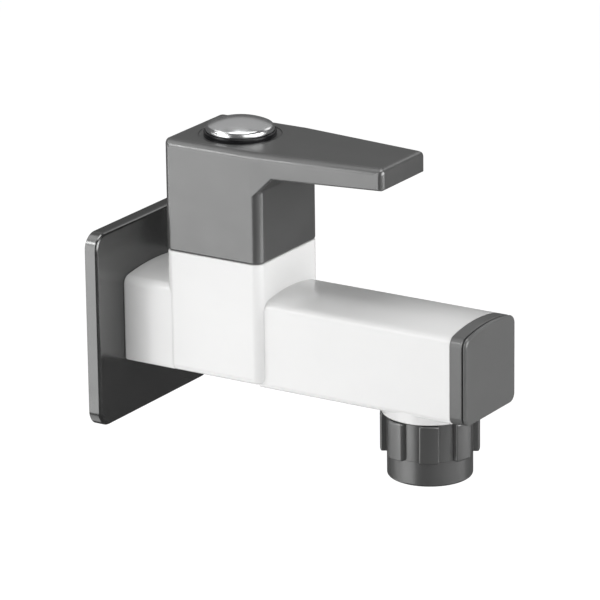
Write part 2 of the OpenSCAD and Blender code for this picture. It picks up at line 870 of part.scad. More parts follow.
// Space under the lever, with the slope of the gusset that braces it against the block
module under_lever() {
    gusset_low = underside(gusset_end) - gusset_leg;
    half_bend = (180 - gusset_lean + atan(under_slope)) / 2;
    bend_len = bend_r / tan(half_bend);
    slope_x = gusset_end - bend_len * cos(gusset_lean);
    rotate([90, 0, 0])
        linear_extrude(column_w + 2 * lap, center = true) {
            polygon([
                [block_right - handle_corner_r - lap, handle_low - lap],
                [lever_tip + lap, handle_low - lap],
                [lever_tip + lap, underside(lever_tip + lap)],
                [gusset_end + bend_len, underside(gusset_end + bend_len)],
                [slope_x, underside(gusset_end) - bend_len * sin(gusset_lean)],
                [block_right - handle_corner_r - lap, gusset_low - handle_corner_r - lap]
            ]);
            translate([gusset_end, underside(gusset_end)])
                rotate(180 + gusset_lean + half_bend)
                    translate([bend_r / sin(half_bend), 0])
                        circle(bend_r);
        }
}

// Front of the block below the lever, from the column's axis to the rounded upright corners
module block_front() {
    half_w = column_w / 2;
    translate([column_x, 0, handle_low])
        linear_extrude(underside(gusset_end) - handle_low) {
            translate([0, -half_w])
                square([half_w - handle_corner_r, column_w]);
            translate([0, handle_corner_r - half_w])
                square([half_w, column_w - 2 * handle_corner_r]);
            for (side = [-1, 1])
                translate([half_w - handle_corner_r, side * (half_w - handle_corner_r)])
                    circle(handle_corner_r);
        }
}

// Grey lever handle: a hollow block over the cartridge with the lever across its top
module handle() {
    inner = column_w - 2 * handle_wall;
    color(grey)
        difference() {
            union() {
                difference() {
                    handle_form();
                    under_lever();
                }
                block_front();
            }
            on_column() {
                difference() {
                    translate([0, 0, handle_low - lap])
                        linear_extrude(deck_low - handle_low + lap)
                            round_rect(inner, inner, hollow_corner_r);
                    translate([0, 0, bush_low])
                        cylinder(r = boss_r, h = bush_len + lap);
                }
                translate([0, 0, bush_low - lap])
                    cylinder(r = bush_r, h = bush_len + lap);
                translate([0, 0, deck_low - lap])
                    cylinder(r = screw_r + screw_fit, h = deck_t + 2 * lap);
                translate([0, 0, well_floor])
                    cylinder(r = well_r, h = well_depth + lap);
                translate([0, 0, dish_floor])
                    cylinder(r = black_r + dish_w, h = dish_depth + lap);
            }
        }
}

// Brass bush with the inner spline, pressed into the handle's boss
module handle_bush() {
    color(brass)
        on_column()
            translate([0, 0, bush_low])
                difference() {
                    cylinder(r = bush_r - seat_fit / 2, h = bush_len);
                    translate([0, 0, -lap])
                        linear_extrude(bush_len + 2 * lap)
                            spline_outline(seat_fit);
                }
}

// Pan-head screw that holds the handle to the spindle
module handle_screw() {
    head_low = well_floor + lock_t;
    point_low = spindle_top - screw_grip + screw_tip_gap;
    color(steel)
        on_column()
            difference() {
                union() {
                    translate([0, 0, point_low])
                        cylinder(r = screw_r, h = head_low - point_low);
                    translate([0, 0, head_low])
                        cylinder(r1 = screw_head_r, r2 = screw_head_r - screw_head_taper,
                                 h = screw_head_h);
                }
                for (turn = [0, 90])
                    rotate([0, 0, turn])
                        translate([-screw_head_r / 2, -screw_slot_w / 2, head_low + screw_head_h / 2])
                            cube([screw_head_r, screw_slot_w, screw_head_h]);
            }
}

// Split washer under the screw's head
module lock_washer() {
    color(steel)
        on_column()
            sector(screw_head_r, screw_r + screw_fit, well_floor, well_floor + lock_t,
                   lock_gap / 2, 360 - lock_gap / 2);
}

// Black ring in the handle's top that the button sits in: a bevelled lip and a sleeve
module button_ring() {
    sleeve_low_z = well_floor + lock_t + screw_head_h;
    color(black)
        on_column()
            rotate_extrude()
                polygon([
                    [ring_bore_r, sleeve_low_z],
                    [well_r - seat_fit, sleeve_low_z],
                    [well_r - seat_fit, dish_floor],
                    [black_r, dish_floor],
                    [black_r, ring_top - ring_bevel],
                    [black_r - ring_bevel, ring_top],
                    [ring_bore_r, ring_top]
                ]);
}

// Domed button: a thin shell with a turned-down rim and a stem ring that snaps into the black ring
module button_cap() {
    edge = button_edge_r;
    edge_x = button_r - edge;
    dome_r = (pow(edge_x, 2) + pow(dome_h, 2) - pow(edge, 2)) / (2 * (dome_h - edge));
    dome_z = button_top - dome_r;
    stem_in = ring_bore_r - seat_fit - button_shell;
    color(chrome)
        on_column()
            rotate_extrude() {
                difference() {
                    union() {
                        intersection() {
                            translate([0, dome_z])
                                circle(dome_r, $fn = 240);
                            translate([0, rim_z])
                                square([edge_x * dome_r / (dome_r - edge), dome_h]);
                        }
                        translate([edge_x, rim_z])
                            intersection() {
                                circle(edge);
                                square(edge);
                            }
                    }
                    translate([0, dome_z])
                        circle(dome_r - button_shell, $fn = 240);
                }
                translate([stem_in, ring_top])
                    square([button_r - stem_in, ring_drop]);
                translate([stem_in, ring_top - button_stem])
                    square([button_shell, button_stem + ring_drop]);
            }
}

// Grip ribs: upright bars with rounded edges, bevelled above and below
module grip_ribs() {
    low = nozzle_top_z - rib_h;
    rib_in = nozzle_bore_r - lap;
    intersection() {
        rotate_extrude()
            polygon([
                [rib_in, nozzle_top_z],
                [rib_r - rib_bevel, nozzle_top_z],
                [rib_r, nozzle_top_z - rib_bevel],
                [rib_r, low + rib_bevel],
                [rib_r - rib_bevel, low],
                [rib_in, low]
            ]);
        for (i = [0 : rib_count - 1])
            rotate([0, 0, rib_turn + i * 360 / rib_count])
                translate([(rib_in + rib_r) / 2, 0, low - lap])
                    linear_extrude(rib_h + 2 * lap)
                        round_rect(rib_r - rib_in, rib_w, rib_edge_r);
    }
}

// Ribbed nozzle that screws onto the outlet and holds the aerator
module nozzle_nut() {
    color(grey)
        at_outlet()
            difference() {
                union() {
                    rotate_extrude() {
                        translate([0, nozzle_end_z + nozzle_edge_r])
                            square([nozzle_end_r, nozzle_h - nozzle_edge_r]);
                        translate([0, nozzle_end_z])
                            square([nozzle_end_r - nozzle_edge_r, nozzle_edge_r * 2]);
                        translate([nozzle_end_r - nozzle_edge_r, nozzle_end_z + nozzle_edge_r])
                            circle(nozzle_edge_r);
                        translate([0, nozzle_top_z - rib_h])
                            square([nozzle_waist_r, rib_h]);
                    }
                    grip_ribs();
                }
                translate([0, 0, ledge_z])
                    cylinder(r = nozzle_bore_r, h = nozzle_top_z - ledge_z + lap);
                translate([0, 0, nozzle_end_z - lap])
                    cylinder(r = mouth_r, h = ledge_z - nozzle_end_z + 2 * lap);
            }
}

// Flat washer between the outlet and the aerator
module nozzle_washer() {
    color(rubber)
        at_outlet()
            ring(nozzle_bore_r - insert_fit, outlet_bore_r, washer_z, outlet_end_z - disc_gap);
}

// Aerator cup: a rim, a wall and a diffuser plate with a ring of slots
module aerator_insert() {
    plate_z = washer_z - gauze_t;
    slot_len = insert_bore_r - diffuser_rim_w - diffuser_hub_r;
    color(acetal)
        at_outlet()
            difference() {
                union() {
                    ring(nozzle_bore_r - insert_fit, insert_bore_r, insert_rim_z, washer_z);
                    ring(insert_r, insert_bore_r, insert_end_z, insert_rim_z + lap);
                    translate([0, 0, plate_z])
                        cylinder(r = insert_bore_r + lap, h = gauze_t);
                }
                for (i = [0 : diffuser_slots - 1])
                    rotate([0, 0, i * 360 / diffuser_slots])
                        translate([diffuser_hub_r, -diffuser_slot_w / 2, plate_z - lap])
                            cube([slot_len, diffuser_slot_w, gauze_t + 2 * lap]);
            }
}

// Perforated gauze discs stacked inside the cup
module aerator_gauzes() {
    pitch = (insert_bore_r - gauze_rim_w - gauze_hole_r) / gauze_rows;
    color(steel)
        at_outlet()
            for (i = [0, 1])
                translate([0, 0, insert_end_z + gauze_recess + i * gauze_pitch])
                    difference() {
                        cylinder(r = insert_bore_r - seat_fit, h = gauze_t);
                        for (q = [-gauze_rows : gauze_rows], p = [-gauze_rows : gauze_rows])
                            if (abs(q + p) <= gauze_rows)
                                translate([(q + p / 2) * pitch, p * pitch * sin(60), -lap])
                                    cylinder(r = gauze_hole_r, h = gauze_t + 2 * lap, $fn = 16);
                    }
}

wall_flange();
tap_body();
end_cap();
end_cap_seal();
cartridge_housing();
housing_gasket();
seat_seal();
fixed_disc();
thrust_washer();
rotating_disc();
spindle();
spindle_o_rings();
spindle_clip();
handle();
handle_bush();
handle_screw();
lock_washer();
button_ring();
button_cap();
nozzle_nut();
nozzle_washer();
aerator_insert();
aerator_gauzes();
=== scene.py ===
"""Looks of a wall-mounted bib cock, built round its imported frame.

Sizes are in millimetres, as in the part's source, and become metres when a mesh is made.
The origin is where the inlet's axis meets the wall, +X points out along the spout and +Z up.
"""

import json
import logging
import math
from collections.abc import Iterable, Sequence
from dataclasses import dataclass, field
from enum import Enum

import bmesh
import bpy
from mathutils import Matrix, Vector


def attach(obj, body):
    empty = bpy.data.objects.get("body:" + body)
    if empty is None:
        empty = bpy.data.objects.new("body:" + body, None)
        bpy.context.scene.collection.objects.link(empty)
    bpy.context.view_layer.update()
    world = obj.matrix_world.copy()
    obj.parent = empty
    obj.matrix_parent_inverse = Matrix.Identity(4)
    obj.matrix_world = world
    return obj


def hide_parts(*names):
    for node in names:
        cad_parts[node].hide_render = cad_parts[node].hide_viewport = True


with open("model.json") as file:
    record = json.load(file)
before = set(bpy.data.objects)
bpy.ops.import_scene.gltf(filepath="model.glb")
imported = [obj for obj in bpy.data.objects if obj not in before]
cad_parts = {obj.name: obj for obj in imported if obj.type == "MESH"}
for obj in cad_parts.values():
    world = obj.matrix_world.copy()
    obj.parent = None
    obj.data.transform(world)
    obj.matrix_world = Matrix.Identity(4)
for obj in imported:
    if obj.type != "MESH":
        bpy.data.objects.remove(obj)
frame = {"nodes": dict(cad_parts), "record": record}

LOG = logging.getLogger("bib_cock")
MM = 0.001
SHARP_ANGLE = math.radians(32)
LEAST_RADIUS = 0.3
EDGE_WEIGHT = "bevel_weight_edge"

Point = tuple[float, float, float]
Flat = tuple[float, float]
Color = tuple[float, float, float, float]
Piece = bpy.types.Object
Material = bpy.types.Material
Node = bpy.types.Node
Socket = bpy.types.NodeSocket
Feed = dict[str | int, object]
Number = Node | Socket | float

WHITE: Color = (1.0, 1.0, 1.0, 1.0)


class Body(Enum):
    """Rigid bodies of the tap that a piece can ride on."""

    TAP = "tap"
    LEVER = "lever"
    AERATOR = "aerator"
    NOZZLE = "nozzle"


class Slot(Enum):
    """Material slots of the record."""

    WHITE = "white_plastic"
    GREY = "grey_plastic"
    BLACK = "black_plastic"
    CHROME = "chrome"
    BRASS = "brass"
    STEEL = "steel"
    CERAMIC = "ceramic"
    ACETAL = "acetal"
    RUBBER = "black_rubber"


class Look(Enum):
    """Finishes of the tap's pieces; the four grey ones are copies of one grey plastic, set apart as
    painted light and shade for each piece.
    """

    WHITE_GLOSS = "white_gloss"
    GREY_HANDLE = "grey_handle"
    GREY_FLANGE = "grey_flange"
    GREY_CAP = "grey_cap"
    GREY_NOZZLE = "grey_nozzle"
    BLACK_GLOSS = "black_gloss"
    SATIN_CHROME = "satin_chrome"
    TURNED_BRASS = "turned_brass"
    DRAWN_STEEL = "drawn_steel"
    LAPPED_CERAMIC = "lapped_ceramic"
    ACETAL = "acetal"
    BLACK_RUBBER = "black_rubber"


# Outlines and skins


def arc(centre: Flat, radius: float, start: float, end: float, steps: int) -> list[Flat]:
    """Points along an arc.

    Args:
        centre: Middle of the arc.
        radius: Radius of the arc.
        start: First angle in degrees.
        end: Last angle in degrees.
        steps: Number of equal steps between the two.

    Returns:
        The points from start to end, both included.
    """
    turns = (math.radians(start + (end - start) * i / steps) for i in range(steps + 1))
    return [(centre[0] + radius * math.cos(t), centre[1] + radius * math.sin(t)) for t in turns]


def rounded_square(width: float, depth: float, radius: float, steps: int = 10) -> list[Flat]:
    """Rectangle with round corners about the origin, counterclockwise from its right side.

    Args:
        width: Size along the first axis.
        depth: Size along the second axis.
        radius: Radius of the corners.
        steps: Steps round each corner.

    Returns:
        4 * (steps + 1) points.
    """
    a, b = width / 2 - radius, depth / 2 - radius
    corners = ((a, b, 0), (-a, b, 90), (-a, -b, 180), (a, -b, 270))
    return [p for x, y, t in corners for p in arc((x, y), radius, t, t + 90, steps)]


def inset_square(width: float, corner: float, inset: float) -> list[Flat]:
    """Square with round corners about the origin, drawn in by an inset.

    Args:
        width: Side of the outer square.
        corner: Radius of its corners.
        inset: Distance by which the outline lies inside it.

    Returns:
        The outline, counterclockwise, always with as many points.
    """
    side = width - 2 * inset
    return rounded_square(side, side, max(corner - inset, LEAST_RADIUS))


def circle(radius: float, count: int) -> list[Flat]:
    """Circle whose points lie opposite those of a rounded square.

    Args:
        radius: Radius of the circle.
        count: Number of points.

    Returns:
        The points, counterclockwise.
    """
    turns = (2 * math.pi * (i + 0.5) / count for i in range(count))
    return [(radius * math.cos(t), radius * math.sin(t)) for t in turns]


def roll(radius: float, steps: int = 8) -> list[Flat]:
    """Pairs of inset and rise over a rolled edge, from its upright side to its flat side.

    Args:
        radius: Radius of the edge.
        steps: Number of steps over the quarter turn.

    Returns:
        (inset, rise) pairs, from (0, 0) to (radius, radius).
    """
    turns = (math.pi / 2 * i / steps for i in range(steps + 1))
    return [(radius * (1 - math.cos(t)), radius * math.sin(t)) for t in turns]


def upright(outline: Iterable[Flat], height: float, centre: Flat = (0.0, 0.0)) -> list[Point]:
    """Lays an outline flat at a height.

    Args:
        outline: Points across X and Y.
        height: Z of the ring.
        centre: Place of the outline's origin.

    Returns:
        The ring in space.
    """
    return [(centre[0] + a, centre[1] + b, height) for a, b in outline]


def facing_x(outline: Iterable[Flat], x: float) -> list[Point]:
    """Stands an outline across the X axis at x, its first axis along Y and its second along Z."""
    return [(x, a, b) for a, b in outline]


class Skin:
    """Collects rings of points and the faces between them, and makes the mesh object."""

    def __init__(self) -> None:
        """Starts an empty skin."""
        self.points: list[Point] = []
        self.faces: list[tuple[int, ...]] = []

    def loft(self, rings: Sequence[Sequence[Point]], loop: bool = False,
             caps: bool = True) -> "Skin":
        """Joins each ring to the next by quads.

        Args:
            rings: Rings with the same number of points, in order.
            loop: True joins the last ring to the first.
            caps: True closes the first and the last ring, unless they are joined.

        Returns:
            The skin, so that calls can be chained.
        """
        base, n = len(self.points), len(rings[0])
        for ring in rings:
            self.points.extend(ring)
        for i in range(len(rings) if loop else len(rings) - 1):
            a, b = base + i * n, base + (i + 1) % len(rings) * n
            self.faces.extend((a + k, a + (k + 1) % n, b + (k + 1) % n, b + k) for k in range(n))
        if caps and not loop:
            last = base + (len(rings) - 1) * n
            self.faces.append(tuple(range(base, base + n)))
            self.faces.append(tuple(range(last, last + n)))
        return self

    def turn(self, profile: Sequence[Flat], centre: Flat = (0.0, 0.0), steps: int = 96,
             along_x: bool = False, loop: bool = False) -> "Skin":
        """Turns a profile of radius and height about an upright axis, or about the X axis.

        Args:
            profile: (radius, height) pairs.
            centre: X and Y of the upright axis.
            steps: Number of steps round the axis.
            along_x: True turns about the X axis, with the heights along it.
            loop: True closes the profile on itself, as a ring's section does.

        Returns:
            The skin, so that calls can be chained.
        """
        rings: list[list[Point]] = []
        for radius, height in profile:
            around = circle(max(radius, 0.0), steps)
            rings.append([(height, a, b) for a, b in around] if along_x
                         else upright(around, height, centre))
        return self.loft(rings, loop=loop, caps=not loop)

    def shape(self, name: str) -> Piece:
        """Makes the object, merged, facing outwards and smooth but for its sharp edges.

        Args:
            name: Name of the object and of its mesh.

        Returns:
            The object, at the origin.
        """
        mesh = bpy.data.meshes.new(name)
        mesh.from_pydata([Vector(p) * MM for p in self.points], [], self.faces)
        work = bmesh.new()
        work.from_mesh(mesh)
        bmesh.ops.remove_doubles(work, verts=work.verts, dist=1e-7)
        bmesh.ops.recalc_face_normals(work, faces=work.faces)
        work.to_mesh(mesh)
        work.free()
        return place(name, mesh)


def place(name: str, mesh: bpy.types.Mesh) -> Piece:
    """Links a mesh to the scene as an object at the origin.

    Args:
        name: Name of the object.
        mesh: Its mesh.

    Returns:
        The new object.
    """
    piece = bpy.data.objects.new(name, mesh)
    bpy.context.scene.collection.objects.link(piece)
    smooth(piece)
    return piece


def smooth(piece: Piece) -> None:
    """Shades a piece smooth but for its sharp edges."""
    piece.data.shade_smooth()
    piece.data.set_sharp_from_angle(angle=SHARP_ANGLE)


def settle(piece: Piece) -> Piece:
    """Turns a piece and its modifiers into a plain mesh.

    Args:
        piece: Object with modifiers.

    Returns:
        The same object, with the result as its mesh and no modifiers.
    """
    bpy.context.view_layer.update()
    seen = piece.evaluated_get(bpy.context.evaluated_depsgraph_get())
    mesh = bpy.data.meshes.new_from_object(seen)
    mesh.name = piece.name
    piece.modifiers.clear()
    piece.data = mesh
    return piece


def cut(piece: Piece, tools: Iterable[Piece]) -> Piece:
    """Takes the shapes of the tools out of a piece and removes the tools.

    Args:
        piece: Closed mesh to cut.
        tools: Closed meshes that are taken out, one after the other.

    Returns:
        The piece, as a plain mesh.
    """
    tools = list(tools)
    for tool in tools:
        step = piece.modifiers.new(tool.name, "BOOLEAN")
        step.operation = "DIFFERENCE"
        step.solver = "EXACT"
        step.object = tool
    settle(piece)
    for tool in tools:
        bpy.data.objects.remove(tool)
    smooth(piece)
    return piece


def round_edges(piece: Piece, radius: float, segments: int) -> None:
    """Rounds the edges of a piece by their bevel weights.

    Args:
        piece: Piece whose edges carry weights.
        radius: Rounding of an edge whose weight is 1.
        segments: Steps over the rounding.
    """
    step = piece.modifiers.new("rounding", "BEVEL")
    step.limit_method = "WEIGHT"
    step.width = radius * MM
    step.segments = segments
    settle(piece)


# Node trees


class Nodes:
    """Adds nodes to a tree, with their links and values."""

    def __init__(self, tree: bpy.types.NodeTree) -> None:
        """Takes the tree to build in."""
        self.tree = tree

    def feed(self, node: Node, inputs: Feed) -> None:
        """Links or sets the inputs of a node.

        Args:
            node: Node of the tree.
            inputs: Values to set, or sockets to link, by the name or place of the input. A node
                stands for its first output.
        """
        for key, value in inputs.items():
            if isinstance(value, Node):
                value = value.outputs[0]
            if isinstance(value, Socket):
                self.tree.links.new(value, node.inputs[key])
            else:
                node.inputs[key].default_value = value

    def add(self, kind: str, inputs: Feed | None = None, **settings: object) -> Node:
        """Adds a node.

        Args:
            kind: Node type.
            inputs: What goes into it, as feed takes it.
            settings: Attributes of the node.

        Returns:
            The node.
        """
        node = self.tree.nodes.new(kind)
        for key, value in settings.items():
            setattr(node, key, value)
        self.feed(node, inputs or {})
        return node

    def math(self, operation: str, *values: Number, clamp: bool = False) -> Socket:
        """Gives a Math node's result on nodes, sockets or numbers, clamped to 0 to 1 or not."""
        return self.add("ShaderNodeMath", dict(enumerate(values)), operation=operation,
                        use_clamp=clamp).outputs[0]


class Group(Nodes):
    """A new node group with named sockets."""

    KINDS = {float: "Float", int: "Int", tuple: "Color"}

    def __init__(self, name: str, kind: str, inputs: dict[str, float | int | Color | str],
                 outputs: dict[str, str]) -> None:
        """Makes the group and its sockets.

        Args:
            name: Name of the group.
            kind: Type of its tree.
            inputs: Names with default values, or with the socket's kind where it has none.
            outputs: Names with the socket's kind.
        """
        super().__init__(bpy.data.node_groups.new(name, kind))
        for key, value in inputs.items():
            bare = isinstance(value, str)
            socket = self.socket(key, "INPUT", value if bare else self.KINDS[type(value)])
            if not bare:
                socket.default_value = value
        for key, value in outputs.items():
            self.socket(key, "OUTPUT", value)
        self.source = self.tree.nodes.new("NodeGroupInput").outputs
        self.sink = self.tree.nodes.new("NodeGroupOutput")

    def socket(self, name: str, side: str, kind: str) -> bpy.types.NodeTreeInterfaceSocket:
        """Adds a socket to the group and returns it."""
        return self.tree.interface.new_socket(name=name, in_out=side,
                                              socket_type=f"NodeSocket{kind}")


# Shader groups and finishes


class Surface(Group):
    """A shader group that gives a surface's Color, Roughness and Height."""

    def __init__(self, name: str, inputs: dict[str, float | Color]) -> None:
        """Makes the group, with its inputs' names and default values."""
        super().__init__(name, "ShaderNodeTree", inputs,
                         {"Color": "Color", "Roughness": "Float", "Height": "Float"})

    def noise(self, scale: Number, detail: float,
              stretch: Point = (1.0, 1.0, 1.0)) -> Socket:
        """Noise over the piece's own coordinates.

        Args:
            scale: Scale of the noise, as a number or a socket.
            detail: Octaves of finer noise.
            stretch: Scale of the coordinates along each axis.

        Returns:
            The noise's value socket.
        """
        spot = self.add("ShaderNodeTexCoord").outputs["Object"]
        turn = self.add("ShaderNodeMapping", {"Vector": spot, "Scale": stretch})
        noise = self.add("ShaderNodeTexNoise", {"Vector": turn.outputs["Vector"], "Scale": scale,
                                                "Detail": detail})
        return noise.outputs["Fac"]

    def spread(self, value: Socket, low: Number, high: Number) -> Socket:
        """Maps a noise from a quarter to three quarters to the range from low to high."""
        return self.add("ShaderNodeMapRange", {"Value": value, "From Min": 0.25, "From Max": 0.75,
                                               "To Min": low, "To Max": high}).outputs["Result"]


def moulded_skin() -> None:
    """Builds the skin of a moulded part: a faint flow in the colour, uneven gloss, fine grain."""
    group = Surface("MouldedSkin", {"Color": (0.5, 0.5, 0.5, 1.0), "Flow": 0.04, "Gloss Low": 0.2,
                                    "Gloss High": 0.3, "Grain Scale": 2500.0, "Grain": 0.3,
                                    "Ripple": 0.1})
    given = group.source
    flow = group.spread(group.noise(45.0, 3.0, (0.6, 1.0, 1.4)), -1.0, 1.0)
    amount = group.math("MULTIPLY_ADD", flow, given["Flow"], 1.0)
    tint = group.add("ShaderNodeVectorMath", {0: given["Color"], "Scale": amount},
                     operation="SCALE")
    gloss = group.spread(group.noise(110.0, 3.0), given["Gloss Low"], given["Gloss High"])
    grain = group.math("MULTIPLY", group.noise(given["Grain Scale"], 1.0), given["Grain"])
    ripple = group.math("MULTIPLY_ADD", group.noise(120.0, 1.0), given["Ripple"], grain)
    group.feed(group.sink, {"Color": tint, "Roughness": gloss, "Height": ripple})


def turned_metal() -> None:
    """Builds the face of turned metal: fine tool lines across Z and a tarnish in patches."""
    group = Surface("TurnedMetal", {"Color": (0.6, 0.6, 0.6, 1.0), "Tarnish": (0.4, 0.4, 0.4, 1.0),
                                    "Tarnish Amount": 0.25, "Gloss Low": 0.2, "Gloss High": 0.35,
                                    "Lines": 0.4})
    given = group.source
    patches = group.spread(group.noise(220.0, 5.0), 0.0, 1.0)
    amount = group.math("MULTIPLY", patches, given["Tarnish Amount"], clamp=True)
    mix = group.add("ShaderNodeMix", {"Factor": amount, 6: given["Color"], 7: given["Tarnish"]},
                    data_type="RGBA")
    lines = group.noise(900.0, 2.0, (0.02, 0.02, 6.0))
    group.feed(group.sink, {
        "Color": mix.outputs[2], "Height": group.math("MULTIPLY", lines, given["Lines"]),
        "Roughness": group.spread(lines, given["Gloss Low"], given["Gloss High"])})


@dataclass(frozen=True)
class Finish:
    """A surface finish: one Principled shader driven by a shader group."""

    slot: Slot
    group: str
    color: tuple[float, float, float]
    metallic: float = 0.0
    coat: float = 0.0
    coat_roughness: float = 0.1
    bump_mm: float = 0.01
    values: dict[str, float | Color] = field(default_factory=dict)

    def material(self, name: str) -> Material:
        """Builds the material.

        Args:
            name: Name of the material.

        Returns:
            The material, with its group's outputs on the shader's sockets.
        """
        made = bpy.data.materials.new(name)
        made.use_nodes = True
        made.diffuse_color = (*self.color, 1.0)
        nodes = Nodes(made.node_tree)
        skin = nodes.add("ShaderNodeGroup", {"Color": (*self.color, 1.0), **self.values},
                         node_tree=bpy.data.node_groups[self.group]).outputs
        bump = nodes.add("ShaderNodeBump", {"Height": skin["Height"], "Strength": 1.0,
                                            "Distance": self.bump_mm * MM})
        nodes.feed(nodes.tree.nodes["Principled BSDF"], {
            "Metallic": self.metallic, "Coat Weight": self.coat,
            "Coat Roughness": self.coat_roughness, "Base Color": skin["Color"],
            "Roughness": skin["Roughness"], "Normal": bump.outputs["Normal"]})
        return made


SATIN = {"Flow": 0.03, "Gloss Low": 0.285, "Gloss High": 0.35, "Grain Scale": 5200.0,
         "Grain": 0.5, "Ripple": 0.4}
FINISHES: dict[Look, Finish] = {
    Look.WHITE_GLOSS: Finish(
        Slot.WHITE, "MouldedSkin", (0.78, 0.78, 0.776), coat=0.25, coat_roughness=0.08,
        bump_mm=0.004, values={"Flow": 0.012, "Gloss Low": 0.16, "Gloss High": 0.24,
                               "Grain Scale": 1800.0, "Grain": 0.25, "Ripple": 0.5}),
    # The four grey finishes below are copies of one grey plastic. Their colour, metallic and gloss
    # are set apart piece by piece to paint the light and shade that each piece gets.
    Look.GREY_HANDLE: Finish(
        Slot.GREY, "MouldedSkin", (0.18, 0.181, 0.18), metallic=0.72, bump_mm=0.004, values=SATIN),
    Look.GREY_FLANGE: Finish(
        Slot.GREY, "MouldedSkin", (0.178, 0.179, 0.178), metallic=0.95, bump_mm=0.004,
        values={**SATIN, "Gloss Low": 0.20, "Gloss High": 0.26}),
    Look.GREY_CAP: Finish(
        Slot.GREY, "MouldedSkin", (0.145, 0.146, 0.145), metallic=0.3, bump_mm=0.004, values=SATIN),
    Look.GREY_NOZZLE: Finish(
        Slot.GREY, "MouldedSkin", (0.20, 0.201, 0.20), metallic=0.8, bump_mm=0.004, values=SATIN),
    Look.BLACK_GLOSS: Finish(
        Slot.BLACK, "MouldedSkin", (0.008, 0.008, 0.009), bump_mm=0.003,
        values={"Gloss Low": 0.16, "Gloss High": 0.26}),
    Look.SATIN_CHROME: Finish(
        Slot.CHROME, "TurnedMetal", (0.85, 0.855, 0.86), metallic=1.0, bump_mm=0.0003,
        values={"Tarnish": (0.72, 0.73, 0.74, 1.0), "Tarnish Amount": 0.15, "Gloss Low": 0.22,
                "Gloss High": 0.265, "Lines": 0.0}),
    Look.TURNED_BRASS: Finish(
        Slot.BRASS, "TurnedMetal", (0.62, 0.42, 0.16), metallic=1.0, bump_mm=0.006,
        values={"Tarnish": (0.30, 0.19, 0.07, 1.0), "Tarnish Amount": 0.4, "Gloss Low": 0.29,
                "Gloss High": 0.42}),
    Look.DRAWN_STEEL: Finish(
        Slot.STEEL, "TurnedMetal", (0.50, 0.51, 0.52), metallic=1.0, bump_mm=0.005,
        values={"Tarnish": (0.30, 0.30, 0.31, 1.0), "Gloss Low": 0.29, "Gloss High": 0.42}),
    Look.LAPPED_CERAMIC: Finish(
        Slot.CERAMIC, "MouldedSkin", (0.72, 0.70, 0.64), bump_mm=0.002,
        values={"Gloss Low": 0.12, "Gloss High": 0.22}),
    Look.ACETAL: Finish(
        Slot.ACETAL, "MouldedSkin", (0.62, 0.63, 0.61), bump_mm=0.006,
        values={"Gloss Low": 0.38, "Gloss High": 0.5}),
    Look.BLACK_RUBBER: Finish(
        Slot.RUBBER, "MouldedSkin", (0.018, 0.018, 0.019), bump_mm=0.02,
        values={"Gloss Low": 0.55, "Gloss High": 0.75, "Grain": 1.0}),
}


class Palette:
    """All finishes of the tap, each built once, and the dressing of the pieces in them."""

    def __init__(self) -> None:
        """Builds the shader groups and the materials."""
        moulded_skin()
        turned_metal()
        self.materials = {look: finish.material(look.value) for look, finish in FINISHES.items()}

    def paint(self, piece: Piece, look: Look) -> None:
        """Gives a whole piece one material."""
        piece.data.materials.clear()
        piece.data.materials.append(self.materials[look])

    def dress(self, piece: Piece, look: Look, body: Body, *nodes: str,
              even: bool = True) -> None:
        """Gives a finished piece its material and body, and hides the CAD nodes that it stands for.

        Args:
            piece: Finished piece, in place.
            look: Finish of the whole piece.
            body: Body that the piece rides on.
            nodes: CAD nodes that it stands for.
            even: True keeps large flat faces evenly shaded beside their rolled edges.
        """
        if even:
            step = piece.modifiers.new("even_shading", "WEIGHTED_NORMAL")
            step.keep_sharp = True
            step.weight = 100
        self.paint(piece, look)
        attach(piece, body.value)
        if nodes:
            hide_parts(*nodes)
        LOG.info("%s: %d faces on %s", piece.name, len(piece.data.polygons), body.value)


# Geometry Nodes


class Pattern(Group):
    """A Geometry Nodes tree that ends in plain, dressed geometry."""

    def __init__(self, name: str, inputs: dict[str, float | int]) -> None:
        """Makes the tree, which also has a Geometry and a Material input.

        Args:
            name: Name of the tree.
            inputs: Names of its sizes with their default values.
        """
        super().__init__(name, "GeometryNodeTree",
                         {"Geometry": "Geometry", **inputs, "Material": "Material"},
                         {"Geometry": "Geometry"})

    def end(self, geometry: Node) -> "Pattern":
        """Realizes the instances and sets the material.

        Args:
            geometry: Node that gives the finished geometry.

        Returns:
            The pattern.
        """
        real = self.add("GeometryNodeRealizeInstances", {"Geometry": geometry})
        dressed = self.add("GeometryNodeSetMaterial",
                           {"Geometry": real, "Material": self.source["Material"]})
        self.feed(self.sink, {"Geometry": dressed})
        return self

    def run(self, piece: Piece, material: Material,
            **sizes: float | int) -> Piece:
        """Runs the tree on a piece and keeps the result as its plain mesh.

        Args:
            piece: Object whose mesh goes in.
            material: Material to set.
            sizes: Values of the named inputs, with _ for a space.

        Returns:
            The piece.
        """
        step = piece.modifiers.new(self.tree.name, "NODES")
        step.node_group = self.tree
        named = {key.replace("_", " "): value for key, value in sizes.items()}
        named["Material"] = material
        for socket in self.tree.interface.items_tree:
            if socket.in_out == "INPUT" and socket.name in named:
                step[socket.identifier] = named[socket.name]
        settle(piece)
        smooth(piece)
        return piece


